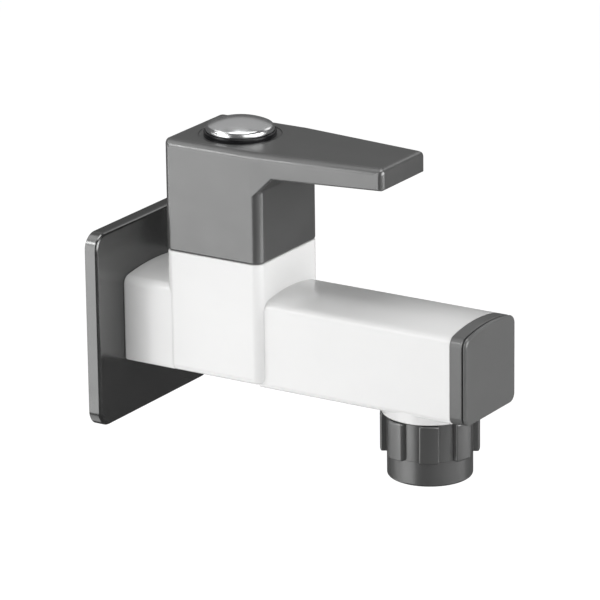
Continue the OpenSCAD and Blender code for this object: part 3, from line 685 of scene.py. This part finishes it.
def ring_of_ribs() -> Pattern:
    """Copies of a rib at equal turns about the Z axis, moved along X to their own axis.

    Returns:
        The pattern, with Count, Turn and Axis X inputs.
    """
    made = Pattern("RingOfRibs", {"Count": 8, "Turn": 0.0, "Axis X": 0.0})
    given = made.source
    points = made.add("GeometryNodePoints", {"Count": given["Count"]})
    share = made.math("DIVIDE", made.add("GeometryNodeInputIndex"), given["Count"])
    turn = made.math("ADD", made.math("MULTIPLY", share, 2 * math.pi), given["Turn"])
    spin = made.add("ShaderNodeCombineXYZ", {"Z": turn})
    copies = made.add("GeometryNodeInstanceOnPoints",
                      {"Points": points, "Instance": given["Geometry"], "Rotation": spin})
    shift = made.add("ShaderNodeCombineXYZ", {"X": given["Axis X"]})
    return made.end(made.add("GeometryNodeTransform", {"Geometry": copies, "Translation": shift}))


def screw_thread() -> Pattern:
    """Ridge of a thread: a diamond section swept along a helix about the Z axis.

    Returns:
        The pattern, with Root, Depth, Pitch and Turns inputs.
    """
    made = Pattern("ScrewThread", {"Root": 0.01, "Depth": 0.0008, "Pitch": 0.0018, "Turns": 6.0})
    given = made.source
    height = made.math("MULTIPLY", given["Pitch"], given["Turns"])
    path = made.add("GeometryNodeCurveSpiral",
                    {"Rotations": given["Turns"], "Start Radius": given["Root"],
                     "End Radius": given["Root"], "Height": height, "Resolution": 64})
    up = made.add("GeometryNodeSetCurveNormal", {"Curve": path}, mode="Z_UP")
    wide = made.math("MULTIPLY", given["Depth"], 2.0)
    half = made.math("MULTIPLY", given["Pitch"], 0.46)
    section = made.add("GeometryNodeCurvePrimitiveQuadrilateral",
                       {"Width": wide, "Bottom Height": half, "Top Height": half}, mode="KITE")
    return made.end(made.add("GeometryNodeCurveToMesh", {"Curve": up, "Profile Curve": section,
                                                         "Fill Caps": True}))


def wire_gauze() -> Pattern:
    """Round gauze of crossed wires in the XY plane.

    Returns:
        The pattern, with Radius, Cells and Wire inputs.
    """
    made = Pattern("WireGauze", {"Radius": 0.009, "Cells": 30, "Wire": 0.0001})
    given = made.source
    side = made.math("MULTIPLY", given["Radius"], 2.0)
    grid = made.add("GeometryNodeMeshGrid", {"Size X": side, "Size Y": side,
                                             "Vertices X": given["Cells"],
                                             "Vertices Y": given["Cells"]})
    far = made.add("ShaderNodeVectorMath", {0: made.add("GeometryNodeInputPosition")},
                   operation="LENGTH")
    outside = made.add("FunctionNodeCompare", {0: far.outputs["Value"], 1: given["Radius"]},
                       data_type="FLOAT", operation="GREATER_THAN")
    kept = made.add("GeometryNodeDeleteGeometry", {"Geometry": grid, "Selection": outside})
    lines = made.add("GeometryNodeMeshToCurve", {"Mesh": kept})
    wire = made.add("GeometryNodeCurvePrimitiveCircle",
                    {"Radius": given["Wire"], "Resolution": 5})
    return made.end(made.add("GeometryNodeCurveToMesh", {"Curve": lines, "Profile Curve": wire}))


def empty_piece(name: str) -> Piece:
    """An object with an empty mesh, for a pattern that makes its own geometry."""
    return place(name, bpy.data.meshes.new(name))


# Sub-assemblies


@dataclass
class CrownedBox:
    """Section across the X axis: a box with round lower edges and a crowned top."""

    width: float = 31.4
    drop: float = 15.1
    rise: float = 15.8
    crown: float = 62.0
    edge: float = 3.2
    low_edge: float = 2.0

    def section(self, inset: float = 0.0) -> list[Flat]:
        """Outline of the section, drawn in by an inset.

        Args:
            inset: Distance by which the outline lies inside the outer one.

        Returns:
            Points across Y and Z, counterclockwise, always as many.
        """
        half = self.width / 2 - inset
        r, foot = (max(edge - inset, LEAST_RADIUS) for edge in (self.edge, self.low_edge))
        low, top = -self.drop + inset, self.crown - inset
        crown_z = self.rise - self.crown
        y = half - r
        z = crown_z + math.sqrt((top - r) ** 2 - y ** 2)
        lean = math.degrees(math.atan2(z - crown_z, y))
        right = arc((y, z), r, 0, lean, 10)
        over = arc((0, crown_z), top, lean, 180 - lean, 32)[1:-1]
        left = arc((-y, z), r, 180 - lean, 180, 10)
        under = (arc((foot - half, low + foot), foot, 180, 270, 8)
                 + arc((half - foot, low + foot), foot, 270, 360, 8))
        return right + over + left + under


@dataclass
class TapBody:
    """White moulding: inlet, arm, column, spout, collar and outlet."""

    palette: Palette
    arm: CrownedBox = field(default_factory=lambda: CrownedBox(36.0, 13.4, 17.0, 85.0, 3.2, 1.0))
    spout: CrownedBox = field(default_factory=CrownedBox)
    spout_end: float = 127.0
    spout_wall: float = 2.6
    flange_t: float = 4.8
    joint: float = 0.2
    neck_r: float = 11.6
    inlet_r: float = 10.48
    inlet_len: float = 14.0
    inlet_lead: float = 1.0
    inlet_start: float = 1.9
    inlet_bare: float = 2.2
    inlet_nose: float = 0.3
    lead_share: float = 0.6
    inlet_bore: float = 6.0
    inlet_chamfer: float = 0.4
    inlet_deep: float = 20.0
    neck_end: float = 7.0
    neck_step: float = 0.6
    inlet_pitch: float = 1.814
    thread_depth: float = 0.9
    column_x: float = 39.6
    column_w: float = 36.4
    column_top: float = 27.4
    column_drop: float = 13.7
    column_corner: float = 3.2
    column_foot: float = 2.4
    column_rim: float = 0.6
    ledge_z: float = 16.7
    chamber_r: float = 9.8
    seat_h: float = 8.5
    bonnet_r: float = 10.4
    outlet_x: float = 110.5
    collar_r: float = 15.6
    collar_h: float = 2.4
    collar_edge: float = 0.5
    outlet_r: float = 12.2
    outlet_len: float = 9.5
    outlet_lead: float = 1.4
    outlet_bore: float = 9.0
    outlet_chamfer: float = 0.3
    outlet_root: float = 3.0
    nose_r: float = 0.6
    nose_h: float = 0.7
    outlet_pitch: float = 1.5
    outlet_depth: float = 0.7
    ridge_share: float = 0.98
    thread_fade: float = 0.6

    def column(self, skin: Skin) -> None:
        """Adds the square column, open above where the cartridge screws in.

        Args:
            skin: Skin of the moulding.
        """
        centre = (self.column_x, 0.0)

        def ring(inset: float, height: float) -> list[Point]:
            """Outline of the column at a height, drawn in by an inset."""
            return upright(inset_square(self.column_w, self.column_corner, inset), height, centre)

        floor = -self.column_drop + self.column_foot
        foot = [ring(a, floor - b) for a, b in roll(self.column_foot)]
        rim = [ring(a, self.column_top - self.column_rim + b) for a, b in roll(self.column_rim, 5)]
        count = len(foot[0])
        bore = [upright(circle(radius, count), height, centre)
                for radius, height in (
                    (self.bonnet_r, self.column_top), (self.bonnet_r, self.ledge_z),
                    (self.chamber_r, self.ledge_z), (self.chamber_r, self.seat_h))]
        skin.loft(foot[::-1] + rim + bore)

    def horizontal(self, skin: Skin) -> None:
        """Adds the arm and the hollow spout, which run into the column.

        Args:
            skin: Skin of the moulding.
        """
        arm, spout, half = self.arm, self.spout, self.column_w / 2
        gap = self.flange_t + self.joint
        rolled = [facing_x(arm.section(a), gap + self.joint - b) for a, b in roll(self.joint, 4)]
        skin.loft([facing_x(arm.section(self.joint), self.flange_t), *rolled[::-1],
                   facing_x(arm.section(), self.column_x - half + self.column_foot)])
        start = self.column_x + half - self.column_foot
        wall = self.spout_wall
        skin.loft([facing_x(spout.section(inset), x)
                   for inset, x in ((0.0, start), (0.0, self.spout_end), (wall, self.spout_end),
                                    (wall, start + wall))])

    def round_parts(self, skin: Skin) -> None:
        """Adds the inlet's stub and neck, and the collar with the outlet under the spout.

        Args:
            skin: Skin of the moulding.
        """
        root, bore, chamfer = self.inlet_r - self.thread_depth, self.inlet_bore, self.inlet_chamfer
        skin.turn([(bore, self.inlet_deep), (bore, -self.inlet_len + chamfer),
                   (bore + chamfer, -self.inlet_len),
                   (self.inlet_r - self.inlet_lead - self.inlet_nose, -self.inlet_len),
                   (root, self.inlet_lead * self.lead_share - self.inlet_len),
                   (root, -self.neck_step),
                   (self.neck_r, 0.0), (self.neck_r, self.neck_end), (bore, self.neck_end)],
                  along_x=True)
        low = -self.spout.drop - self.collar_h
        end = low - self.outlet_len
        core, top = self.outlet_r - self.outlet_depth, self.outlet_root - self.spout.drop
        bore, chamfer, edge = self.outlet_bore, self.outlet_chamfer, self.collar_edge
        lip = [(self.collar_r - a, low + edge - b) for a, b in roll(edge, 4)]
        skin.turn([(self.collar_r, top), *lip, (core, low), (core, end + self.nose_h),
                   (core - self.nose_r, end), (bore + chamfer, end), (bore, end + chamfer),
                   (bore, top)], centre=(self.outlet_x, 0.0), loop=True)

    def threads(self) -> None:
        """Builds and dresses the threads of the inlet and the outlet."""
        pattern, white = screw_thread(), Look.WHITE_GLOSS
        outlet_start = self.outlet_lead - self.spout.drop - self.collar_h - self.outlet_len
        lying = Matrix.Rotation(math.pi / 2, 4, "Y")
        for name, radius, depth, pitch, length, spot in (
                ("inlet_thread", self.inlet_r, self.thread_depth, self.inlet_pitch,
                 self.inlet_len - self.inlet_bare,
                 Matrix.Translation(((self.inlet_start - self.inlet_len) * MM, 0, 0)) @ lying),
                ("outlet_thread", self.outlet_r, self.outlet_depth, self.outlet_pitch,
                 self.outlet_len - self.outlet_lead,
                 Matrix.Translation((self.outlet_x * MM, 0, outlet_start * MM)))):
            ridge = pattern.run(empty_piece(name), self.palette.materials[white],
                                Root=(radius - depth) * MM, Depth=depth * self.ridge_share * MM,
                                Pitch=pitch * MM, Turns=length / pitch - self.thread_fade)
            ridge.data.transform(spot)
            self.palette.dress(ridge, white, Body.TAP, even=False)

    def build(self) -> None:
        """Builds and dresses the moulding."""
        skin = Skin()
        self.column(skin)
        self.horizontal(skin)
        self.round_parts(skin)
        self.palette.dress(skin.shape("tap_body_moulding"), Look.WHITE_GLOSS, Body.TAP, "tap_body")
        self.threads()


@dataclass
class WallFlange:
    """Square grey cover plate at the wall, hollow behind."""

    palette: Palette
    width: float = 66.0
    thickness: float = 4.8
    corner: float = 5.4
    edge: float = 1.1
    back_edge: float = 0.25
    wall: float = 2.2
    hole: float = 11.65
    boss: float = 13.8

    def build(self) -> None:
        """Builds and dresses the plate."""
        def ring(inset: float, x: float) -> list[Point]:
            """Outline of the plate at x, drawn in by an inset."""
            return facing_x(inset_square(self.width, self.corner, inset), x)

        front = [ring(a, self.thickness - self.edge + b) for a, b in roll(self.edge, 6)]
        count = len(front[0])
        deep = self.thickness - self.wall
        hole, boss = circle(self.hole, count), circle(self.boss, count)
        rings = [ring(self.back_edge, 0.0), ring(0.0, self.back_edge), *front,
                 facing_x(hole, self.thickness), facing_x(hole, 0.0), facing_x(boss, 0.0),
                 facing_x(boss, deep), ring(self.wall, deep), ring(self.wall, 0.0)]
        plate = Skin().loft(rings, loop=True).shape("wall_flange_plate")
        self.palette.dress(plate, Look.GREY_FLANGE, Body.TAP, "wall_flange")


@dataclass
class EndCap:
    """Grey cap on the spout: a strip, a shadow groove and a face plate with a rolled edge."""

    palette: Palette
    spout: CrownedBox = field(default_factory=lambda: CrownedBox(low_edge=3.0))
    spout_end: float = 127.0
    spout_wall: float = 2.6
    strip: float = 4.4
    groove_w: float = 0.5
    groove_d: float = 0.8
    face: float = 1.2
    edge: float = 0.9
    lip: float = 0.15
    groove_edge: float = 0.2
    plug: float = 5.6
    plug_wall: float = 2.0
    plug_gap: float = 0.05

    def build(self) -> None:
        """Builds and dresses the cap."""
        start, soft, deep = self.spout_end, self.groove_edge, self.groove_d
        groove = start + self.strip
        plate = groove + self.groove_w
        end = plate + self.face
        plug = self.spout_wall + self.plug_gap
        hollow, low = plug + self.plug_wall, start - self.plug
        steps = [(hollow, end - self.plug_wall), (hollow, low), (plug, low), (plug, start),
                 (self.lip, start), (0.0, start + self.lip), (0.0, groove - soft), (soft, groove),
                 (deep, groove), (deep, plate), (soft, plate), (0.0, plate + soft),
                 *((a, end - self.edge + b) for a, b in roll(self.edge))]
        rings = [facing_x(self.spout.section(inset), x) for inset, x in steps]
        cap = Skin().loft(rings).shape("end_cap_moulding")
        self.palette.dress(cap, Look.GREY_CAP, Body.TAP, "end_cap")


@dataclass
class LeverHandle:
    """Grey handle: a hollow block with a tapered lever across its top."""

    palette: Palette
    centre_x: float = 39.6
    left: float = 21.4
    right: float = 57.8
    half: float = 18.2
    low: float = 27.8
    top: float = 64.7
    flank_x: float = 54.5
    tip_x: float = 101.2
    tip_half: float = 13.3
    tip_t: float = 7.1
    root_t: float = 8.0
    gusset: float = 4.6
    corner: float = 2.8
    tip_corner: float = 1.6
    top_edge: float = 2.7
    back_edge: float = 1.0
    tip_edge: float = 1.5
    under_edge: float = 0.6
    bend: float = 1.0
    low_bend: float = 0.8
    foot_edge: float = 0.25
    wall: float = 2.6
    hollow_corner: float = 1.3
    deck_low: float = 54.7
    deck_top: float = 57.7
    bush_low: float = 44.7
    bush_r: float = 6.4
    boss_r: float = 8.4
    screw_r: float = 2.25
    well_r: float = 10.3
    dish_z: float = 64.3
    dish_r: float = 13.6
    dish_lip: tuple[Flat, ...] = ((-0.35, 0.0), (-0.1, 0.08), (0.0, 0.3))
    dish_flare: float = 0.1
    overshoot: float = 1.0

    def blank(self) -> Piece:
        """Makes the handle with plain flat faces and the width of each edge's rounding.

        Returns:
            A low mesh whose edges carry bevel weights.
        """
        end = self.right + self.gusset
        root_z, tip_z = self.top - self.root_t, self.top - self.tip_t
        slope = (self.half - self.tip_half) / (self.tip_x - self.flank_x)

        def half_at(x: float) -> float:
            """Half the handle's width at x."""
            return self.half - max(x - self.flank_x, 0.0) * slope

        side = [(self.left, self.low), (self.flank_x, self.low), (self.right, self.low),
                (self.right, root_z - self.gusset), (end, root_z), (self.tip_x, tip_z),
                (self.tip_x, self.top), (self.flank_x, self.top), (self.left, self.top)]
        skin, n = Skin(), len(side)
        for sign in (-1.0, 1.0):
            skin.points.extend((x, sign * half_at(x), z) for x, z in side)
        skin.faces = [(0, 1, 7, 8), (1, 2, 3, 4, 5, 6, 7)]
        skin.faces += [tuple(n + i for i in face) for face in skin.faces]
        skin.faces += [(i, (i + 1) % n, n + (i + 1) % n, n + i) for i in range(n)]
        widths = {frozenset((5, n + 5)): self.under_edge, frozenset((6, n + 6)): self.tip_edge,
                  frozenset((8, n + 8)): self.back_edge, frozenset((4, n + 4)): self.bend,
                  frozenset((3, n + 3)): self.low_bend}
        for base in (0, n):
            pairs = {(2, 3): self.corner, (3, 4): self.under_edge, (4, 5): self.under_edge,
                     (5, 6): self.tip_corner, (6, 7): self.top_edge, (7, 8): self.top_edge,
                     (8, 0): self.corner}
            widths.update({frozenset((base + a, base + b)): w for (a, b), w in pairs.items()})
        made = skin.shape("handle_moulding")
        weight = made.data.attributes.new(EDGE_WEIGHT, "FLOAT", "EDGE")
        for edge in made.data.edges:
            weight.data[edge.index].value = widths.get(frozenset(edge.vertices), 0.0) / self.corner
        return made

    def tools(self) -> list[Piece]:
        """Makes the shapes that are taken out of the block.

        Returns:
            The hollow round the boss, and the bores, the well and the dish on the axis.
        """
        inner = 2 * (self.half - self.wall)
        outline = rounded_square(inner, inner, self.hollow_corner)
        boss = circle(self.boss_r, len(outline))
        axis, over = (self.centre_x, 0.0), self.overshoot
        floor = self.low - over
        pole = circle(0.0, len(outline))
        ring = Skin().loft([upright(shape, height, axis) for shape, height in (
            (outline, floor), (outline, self.deck_low), (boss, self.deck_low),
            (boss, self.bush_low), (pole, self.bush_low), (pole, floor))])
        lip = [(self.dish_r + a, self.dish_z + b) for a, b in self.dish_lip]
        flare = self.dish_r + self.dish_flare
        bores = Skin().turn([(0, self.bush_low - over), (self.bush_r, self.bush_low - over),
                             (self.bush_r, self.deck_low), (self.screw_r, self.deck_low),
                             (self.screw_r, self.deck_top), (self.well_r, self.deck_top),
                             (self.well_r, self.dish_z), *lip, (flare, self.top),
                             (flare, self.top + over), (0, self.top + over)],
                            centre=axis, steps=128)
        return [ring.shape("hollow_tool"), bores.shape("bore_tool")]

    def round_foot(self, handle: Piece) -> None:
        """Rounds the edge round the block's underside, once its upright corners are round.

        Args:
            handle: Handle whose other edges are round already.
        """
        work = bmesh.new()
        work.from_mesh(handle.data)
        low = self.low * MM + 1e-6
        rim = {edge.index for edge in work.edges
               if all(v.co.z < low for v in edge.verts) and edge.calc_face_angle(0.0) > 1.0}
        work.free()
        weight = handle.data.attributes[EDGE_WEIGHT]
        for edge in handle.data.edges:
            weight.data[edge.index].value = float(edge.index in rim)
        round_edges(handle, self.foot_edge, 3)

    def build(self) -> None:
        """Builds and dresses the handle."""
        handle = self.blank()
        round_edges(handle, self.corner, 8)
        self.round_foot(handle)
        cut(handle, self.tools())
        self.palette.dress(handle, Look.GREY_HANDLE, Body.LEVER, "handle")


@dataclass
class ButtonSet:
    """Domed chrome button in its black ring."""

    palette: Palette
    centre_x: float = 39.6
    rim_z: float = 66.5
    top_z: float = 70.2
    radius: float = 11.2
    ring_r: float = 11.9
    ring_top: float = 65.9
    ring_bore: float = 8.9
    well_r: float = 10.25
    floor_z: float = 64.3
    sleeve_z: float = 61.1
    bevel: float = 0.3
    shoulder: float = 1.6
    stem: float = 4.6
    shell: float = 1.4
    gap: float = 0.02
    skirt: float = 0.27
    skirt_in: float = 0.25
    stem_gap: float = 0.05

    def ring(self) -> None:
        """Builds and dresses the black ring."""
        lip = [(self.ring_r - self.bevel + b, self.ring_top - a)
               for a, b in roll(self.bevel, 4)]
        profile = [(self.ring_bore, self.sleeve_z), (self.well_r, self.sleeve_z),
                   (self.well_r, self.floor_z), (self.ring_r, self.floor_z), *lip[::-1],
                   (self.ring_bore, self.ring_top)]
        ring = Skin().turn(profile, (self.centre_x, 0.0), 128, loop=True).shape("button_ring_lip")
        self.palette.dress(ring, Look.BLACK_GLOSS, Body.LEVER, "button_ring")

    def cap(self) -> None:
        """Builds and dresses the domed button."""
        rise, edge = self.top_z - self.rim_z, self.shoulder
        reach = self.radius - edge
        dome = (reach ** 2 + rise ** 2 - edge ** 2) / (2 * (rise - edge))
        lean = math.degrees(math.asin(reach / (dome - edge)))
        over = arc((0.0, self.top_z - dome), dome, 90, 90 - lean, 28)
        rim = arc((reach, self.rim_z), edge, 90 - lean, 0, 14)[1:]
        inner, seat = self.ring_bore - self.stem_gap, self.ring_top + self.gap
        foot = self.ring_top - self.stem
        profile = [*over, *rim, (self.radius, self.ring_top + self.skirt),
                   (self.radius - self.skirt_in, seat), (inner, seat), (inner, foot),
                   (inner - self.shell, foot), (inner - self.shell, self.rim_z),
                   (0.0, self.rim_z + rise / 2)]
        cap = Skin().turn(profile, (self.centre_x, 0.0), 128).shape("button_dome")
        self.palette.dress(cap, Look.SATIN_CHROME, Body.LEVER, "button_cap")

    def build(self) -> None:
        """Builds the ring and the button."""
        self.ring()
        self.cap()


@dataclass
class Nozzle:
    """Grey ribbed nozzle on the outlet."""

    palette: Palette
    axis_x: float = 110.5
    top: float = -17.8
    height: float = 21.1
    waist_r: float = 14.3
    end_r: float = 13.9
    bore_r: float = 12.28
    mouth_r: float = 10.88
    ledge_z: float = -29.85
    rib_r: float = 16.1
    rib_h: float = 12.7
    rib_w: float = 6.4
    rib_edge: float = 0.55
    rib_root: float = 0.9
    rib_least: float = 0.12
    ribs: int = 8
    rib_turn: float = -15.5
    edge: float = 0.8
    inner_chamfer: float = 0.4
    top_chamfer: float = 0.3
    waist_edge: float = 0.2

    def shell(self) -> None:
        """Builds and dresses the turned shell."""
        low, waist = self.top - self.height, self.top - self.rib_h
        mouth = [(self.end_r - a, low + self.edge - b) for a, b in roll(self.edge, 6)]
        inner, outer, step = self.inner_chamfer, self.top_chamfer, self.waist_edge
        profile = [(self.bore_r + inner, self.top), (self.waist_r - outer, self.top),
                   (self.waist_r, self.top - outer), (self.waist_r, waist + step),
                   (self.waist_r - step, waist), (self.end_r, waist), *mouth,
                   (self.mouth_r + inner, low), (self.mouth_r, low + inner),
                   (self.mouth_r, self.ledge_z), (self.bore_r, self.ledge_z),
                   (self.bore_r, self.top - inner)]
        shell = Skin().turn(profile, (self.axis_x, 0.0), 128, loop=True).shape("nozzle_shell")
        self.palette.dress(shell, Look.GREY_NOZZLE, Body.NOZZLE, "nozzle_nut")

    def rib(self) -> Piece:
        """Makes one grip rib about the origin's axis, out along X.

        Returns:
            A closed bar with rounded edges, which starts inside the shell's wall.
        """
        inner, edge = self.bore_r + self.rib_root, self.rib_edge
        half = self.rib_w / 2
        span = math.degrees(math.asin((half - edge) / (self.rib_r - edge)))

        def ring(inset: float, height: float) -> list[Point]:
            """Outline of the bar.

            Args:
                inset: Distance by which the outline is drawn in.
                height: Z of the outline.

            Returns:
                The ring in space.
            """
            r, w = self.rib_r - inset, half - inset
            soft = max(edge - inset, self.rib_least)
            corner_x, corner_y = (r - soft) * math.cos(math.radians(span)), w - soft
            right = arc((corner_x, -corner_y), soft, -90, -span, 6)
            face = arc((0.0, 0.0), r, -span, span, 10)[1:-1]
            left = arc((corner_x, corner_y), soft, span, 90, 6)
            return upright([(inner, w), (inner, -w), *right, *face, *left], height)

        low = self.top - self.rib_h
        foot = [ring(a, low + edge - b) for a, b in roll(edge, 5)]
        head = [ring(a, self.top - edge + b) for a, b in roll(edge, 5)]
        return Skin().loft(foot[::-1] + head).shape("nozzle_ribs")

    def build(self) -> None:
        """Builds and dresses the nozzle."""
        self.shell()
        grey = Look.GREY_NOZZLE
        ribs = ring_of_ribs().run(self.rib(), self.palette.materials[grey], Count=self.ribs,
                                  Turn=math.radians(self.rib_turn), Axis_X=self.axis_x * MM)
        self.palette.dress(ribs, grey, Body.NOZZLE)


@dataclass
class Aerator:
    """Wire gauzes in the aerator's cup."""

    palette: Palette
    axis_x: float = 110.5
    low: float = -33.8
    pitch: float = 1.1
    radius: float = 9.35
    wire: float = 0.13
    cells: int = 31
    gauzes: int = 2
    rim: float = 0.5
    lay: float = 20.0
    lay_step: float = 25.0

    def build(self) -> None:
        """Builds and dresses the gauzes."""
        pattern, steel = wire_gauze(), Look.DRAWN_STEEL
        skin = Skin()
        inner = self.radius - self.rim
        for i in range(self.gauzes):
            low = self.low + i * self.pitch
            skin.turn([(inner, low), (self.radius, low), (self.radius, low + self.rim),
                       (inner, low + self.rim)], (self.axis_x, 0.0), 72, loop=True)
        self.palette.dress(skin.shape("gauze_rims"), steel, Body.AERATOR, "aerator_gauzes",
                           even=False)
        for i in range(self.gauzes):
            wires = pattern.run(empty_piece(f"gauze_wires_{i + 1}"),
                                self.palette.materials[steel], Radius=self.radius * MM,
                                Cells=self.cells, Wire=self.wire * MM)
            height = (self.low + self.rim / 2 + i * self.pitch) * MM
            turned = Matrix.Rotation(math.radians(self.lay + self.lay_step * i), 4, "Z")
            wires.data.transform(Matrix.Translation((self.axis_x * MM, 0, height)) @ turned)
            self.palette.dress(wires, steel, Body.AERATOR, even=False)


@dataclass
class InnerPieces:
    """Pieces inside the tap whose CAD shape is final and only gets its finish."""

    palette: Palette

    def build(self) -> None:
        """Gives each remaining CAD node the material of its slot."""
        looks = {finish.slot.value: look for look, finish in FINISHES.items()}
        slots = {part["node"]: part["material_slot"] for part in frame["record"]["subparts"]}
        for name, node in sorted(frame["nodes"].items()):
            if not node.hide_render:
                self.palette.paint(node, looks[slots[name]])
                LOG.info("%s: %s", name, slots[name])


# Studio


@dataclass(frozen=True)
class Lamp:
    """A soft rectangular lamp that points at the tap."""

    name: str
    place: Point
    width: float
    height: float
    power: float


def glowing(nodes: Nodes, base: Node, kind: str,
            rays: Iterable[tuple[str, float, float]]) -> Node:
    """Shows some rays a plain white glow in place of what the others see.

    Args:
        nodes: Tree of the floor's material or of the world.
        base: Shader that the other rays see.
        kind: Node type of the glow.
        rays: Outputs of Light Path, each with the glow's share and its strength.

    Returns:
        The node that mixes them.
    """
    seen = nodes.add("ShaderNodeLightPath").outputs
    for ray, share, strength in rays:
        glow = nodes.add(kind, {"Color": WHITE, "Strength": strength})
        part = nodes.math("MULTIPLY", seen[ray], share)
        base = nodes.add("ShaderNodeMixShader", {"Fac": part, 1: base, 2: glow})
    return base


@dataclass
class Studio:
    """Pale floor, soft lamps and the camera at the photograph's angle."""

    aim: Point = (0.055, 0.0, 0.012)
    floor_z: float = -0.30
    floor_half: float = 12.0
    floor_white: float = 0.82
    floor_glow: float = 1.18
    dark: float = 0.105
    ambient: float = 0.07
    lens: float = 280.0
    eye: Point = (0.83162, -1.21468, 0.48333)
    eye_back: Point = (0.50871, -0.80254, 0.31169)
    eye_right: Point = (0.84667, 0.53198, -0.01210)
    lamps: tuple[Lamp, ...] = (
        Lamp("key", (-0.24, -0.579, -0.01), 0.50, 0.56, 1.75),
        Lamp("strip", (-0.38, -0.52, 0.436), 0.5, 0.12, 1.5),
        Lamp("fill", (1.15, -0.60, 0.35), 0.8, 1.0, 4.5),
        Lamp("side", (1.25, 0.10, 0.25), 0.8, 0.8, 10.0),
        Lamp("top", (0.1, 0.0, 1.3), 0.9, 0.9, 8.0),
        Lamp("back", (0.35, 0.95, 0.70), 0.6, 0.4, 0.8),
        Lamp("high_card", (-0.47, 0.85, 0.85), 1.6, 0.9, 1.2),
        Lamp("edge_card", (-0.55, -0.22, 0.88), 0.9, 0.3, 1.3),
        Lamp("low_card", (-0.15, -0.09, -0.25), 0.22, 0.16, 0.11),
        Lamp("left_card", (-0.72, -0.42, -0.14), 0.3, 0.3, 0.9),
        Lamp("right_card", (0.95, 0.54, -0.14), 0.3, 0.3, 1.0),
    )

    def floor(self) -> None:
        """Lays the pale floor, which the camera sees white but for the tap's shadow."""
        mesh = bpy.data.meshes.new("floor")
        s, z = self.floor_half, self.floor_z
        mesh.from_pydata([(-s, -s, z), (s, -s, z), (s, s, z), (-s, s, z)], [], [(0, 1, 2, 3)])
        floor = bpy.data.objects.new("floor", mesh)
        bpy.context.scene.collection.objects.link(floor)
        made = bpy.data.materials.new("pale_floor")
        made.use_nodes = True
        nodes = Nodes(made.node_tree)
        paint = nodes.tree.nodes["Principled BSDF"]
        nodes.feed(paint, {"Base Color": (0.9, 0.9, 0.9, 1.0), "Roughness": 0.9})
        mixed = glowing(nodes, paint, "ShaderNodeEmission",
                        (("Is Camera Ray", self.floor_white, self.floor_glow),
                         ("Is Glossy Ray", 1.0, self.dark)))
        nodes.feed(nodes.tree.nodes["Material Output"], {"Surface": mixed})
        mesh.materials.append(made)

    def sky(self) -> None:
        """Sets an even world, white to the camera and dark in the tap's reflections."""
        world = bpy.data.worlds.new("studio")
        bpy.context.scene.world = world
        world.use_nodes = True
        nodes = Nodes(world.node_tree)
        base = nodes.tree.nodes["Background"]
        nodes.feed(base, {"Color": WHITE, "Strength": self.ambient})
        mixed = glowing(nodes, base, "ShaderNodeBackground",
                        (("Is Glossy Ray", 1.0, self.dark), ("Is Camera Ray", 1.0, 1.0)))
        nodes.feed(nodes.tree.nodes["World Output"], {"Surface": mixed})

    def light(self) -> None:
        """Hangs the lamps."""
        for lamp in self.lamps:
            data = bpy.data.lights.new(lamp.name, "AREA")
            data.shape = "RECTANGLE"
            data.size, data.size_y, data.energy = lamp.width, lamp.height, lamp.power
            made = bpy.data.objects.new(lamp.name, data)
            made.location = lamp.place
            made.visible_camera = False
            line = Vector(self.aim) - Vector(lamp.place)
            made.rotation_euler = line.to_track_quat("-Z", "Y").to_euler()
            bpy.context.scene.collection.objects.link(made)

    def camera(self) -> None:
        """Sets the camera where the photograph's perspective puts it."""
        data = bpy.data.cameras.new("camera")
        data.lens, data.sensor_width = self.lens, 36.0
        data.clip_start, data.clip_end = 0.05, 30.0
        made = bpy.data.objects.new("camera", data)
        back, right = Vector(self.eye_back).normalized(), Vector(self.eye_right)
        right = (right - right.dot(back) * back).normalized()
        up = back.cross(right)
        turn = Matrix((right, up, back)).transposed().to_4x4()
        made.matrix_world = Matrix.Translation(self.eye) @ turn
        bpy.context.scene.collection.objects.link(made)
        bpy.context.scene.camera = made

    def build(self) -> None:
        """Builds the whole set."""
        self.floor()
        self.sky()
        self.light()
        self.camera()
        bpy.context.scene.view_settings.view_transform = "Standard"


def corners(box: tuple[Vector, Vector]) -> list[list[float]]:
    """A box as plain lists of numbers."""
    return [list(corner) for corner in box]


def main() -> None:
    """Builds the tap's pieces in order, then the studio round them."""
    logging.basicConfig(level=logging.INFO, format="%(name)s %(message)s")
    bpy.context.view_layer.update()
    palette = Palette()
    for part in (TapBody, WallFlange, EndCap, LeverHandle, ButtonSet, Nozzle, Aerator,
                 InnerPieces):
        LOG.info("building %s", part.__name__)
        part(palette).build()
    Studio().build()


if __name__ == "__main__":
    main()
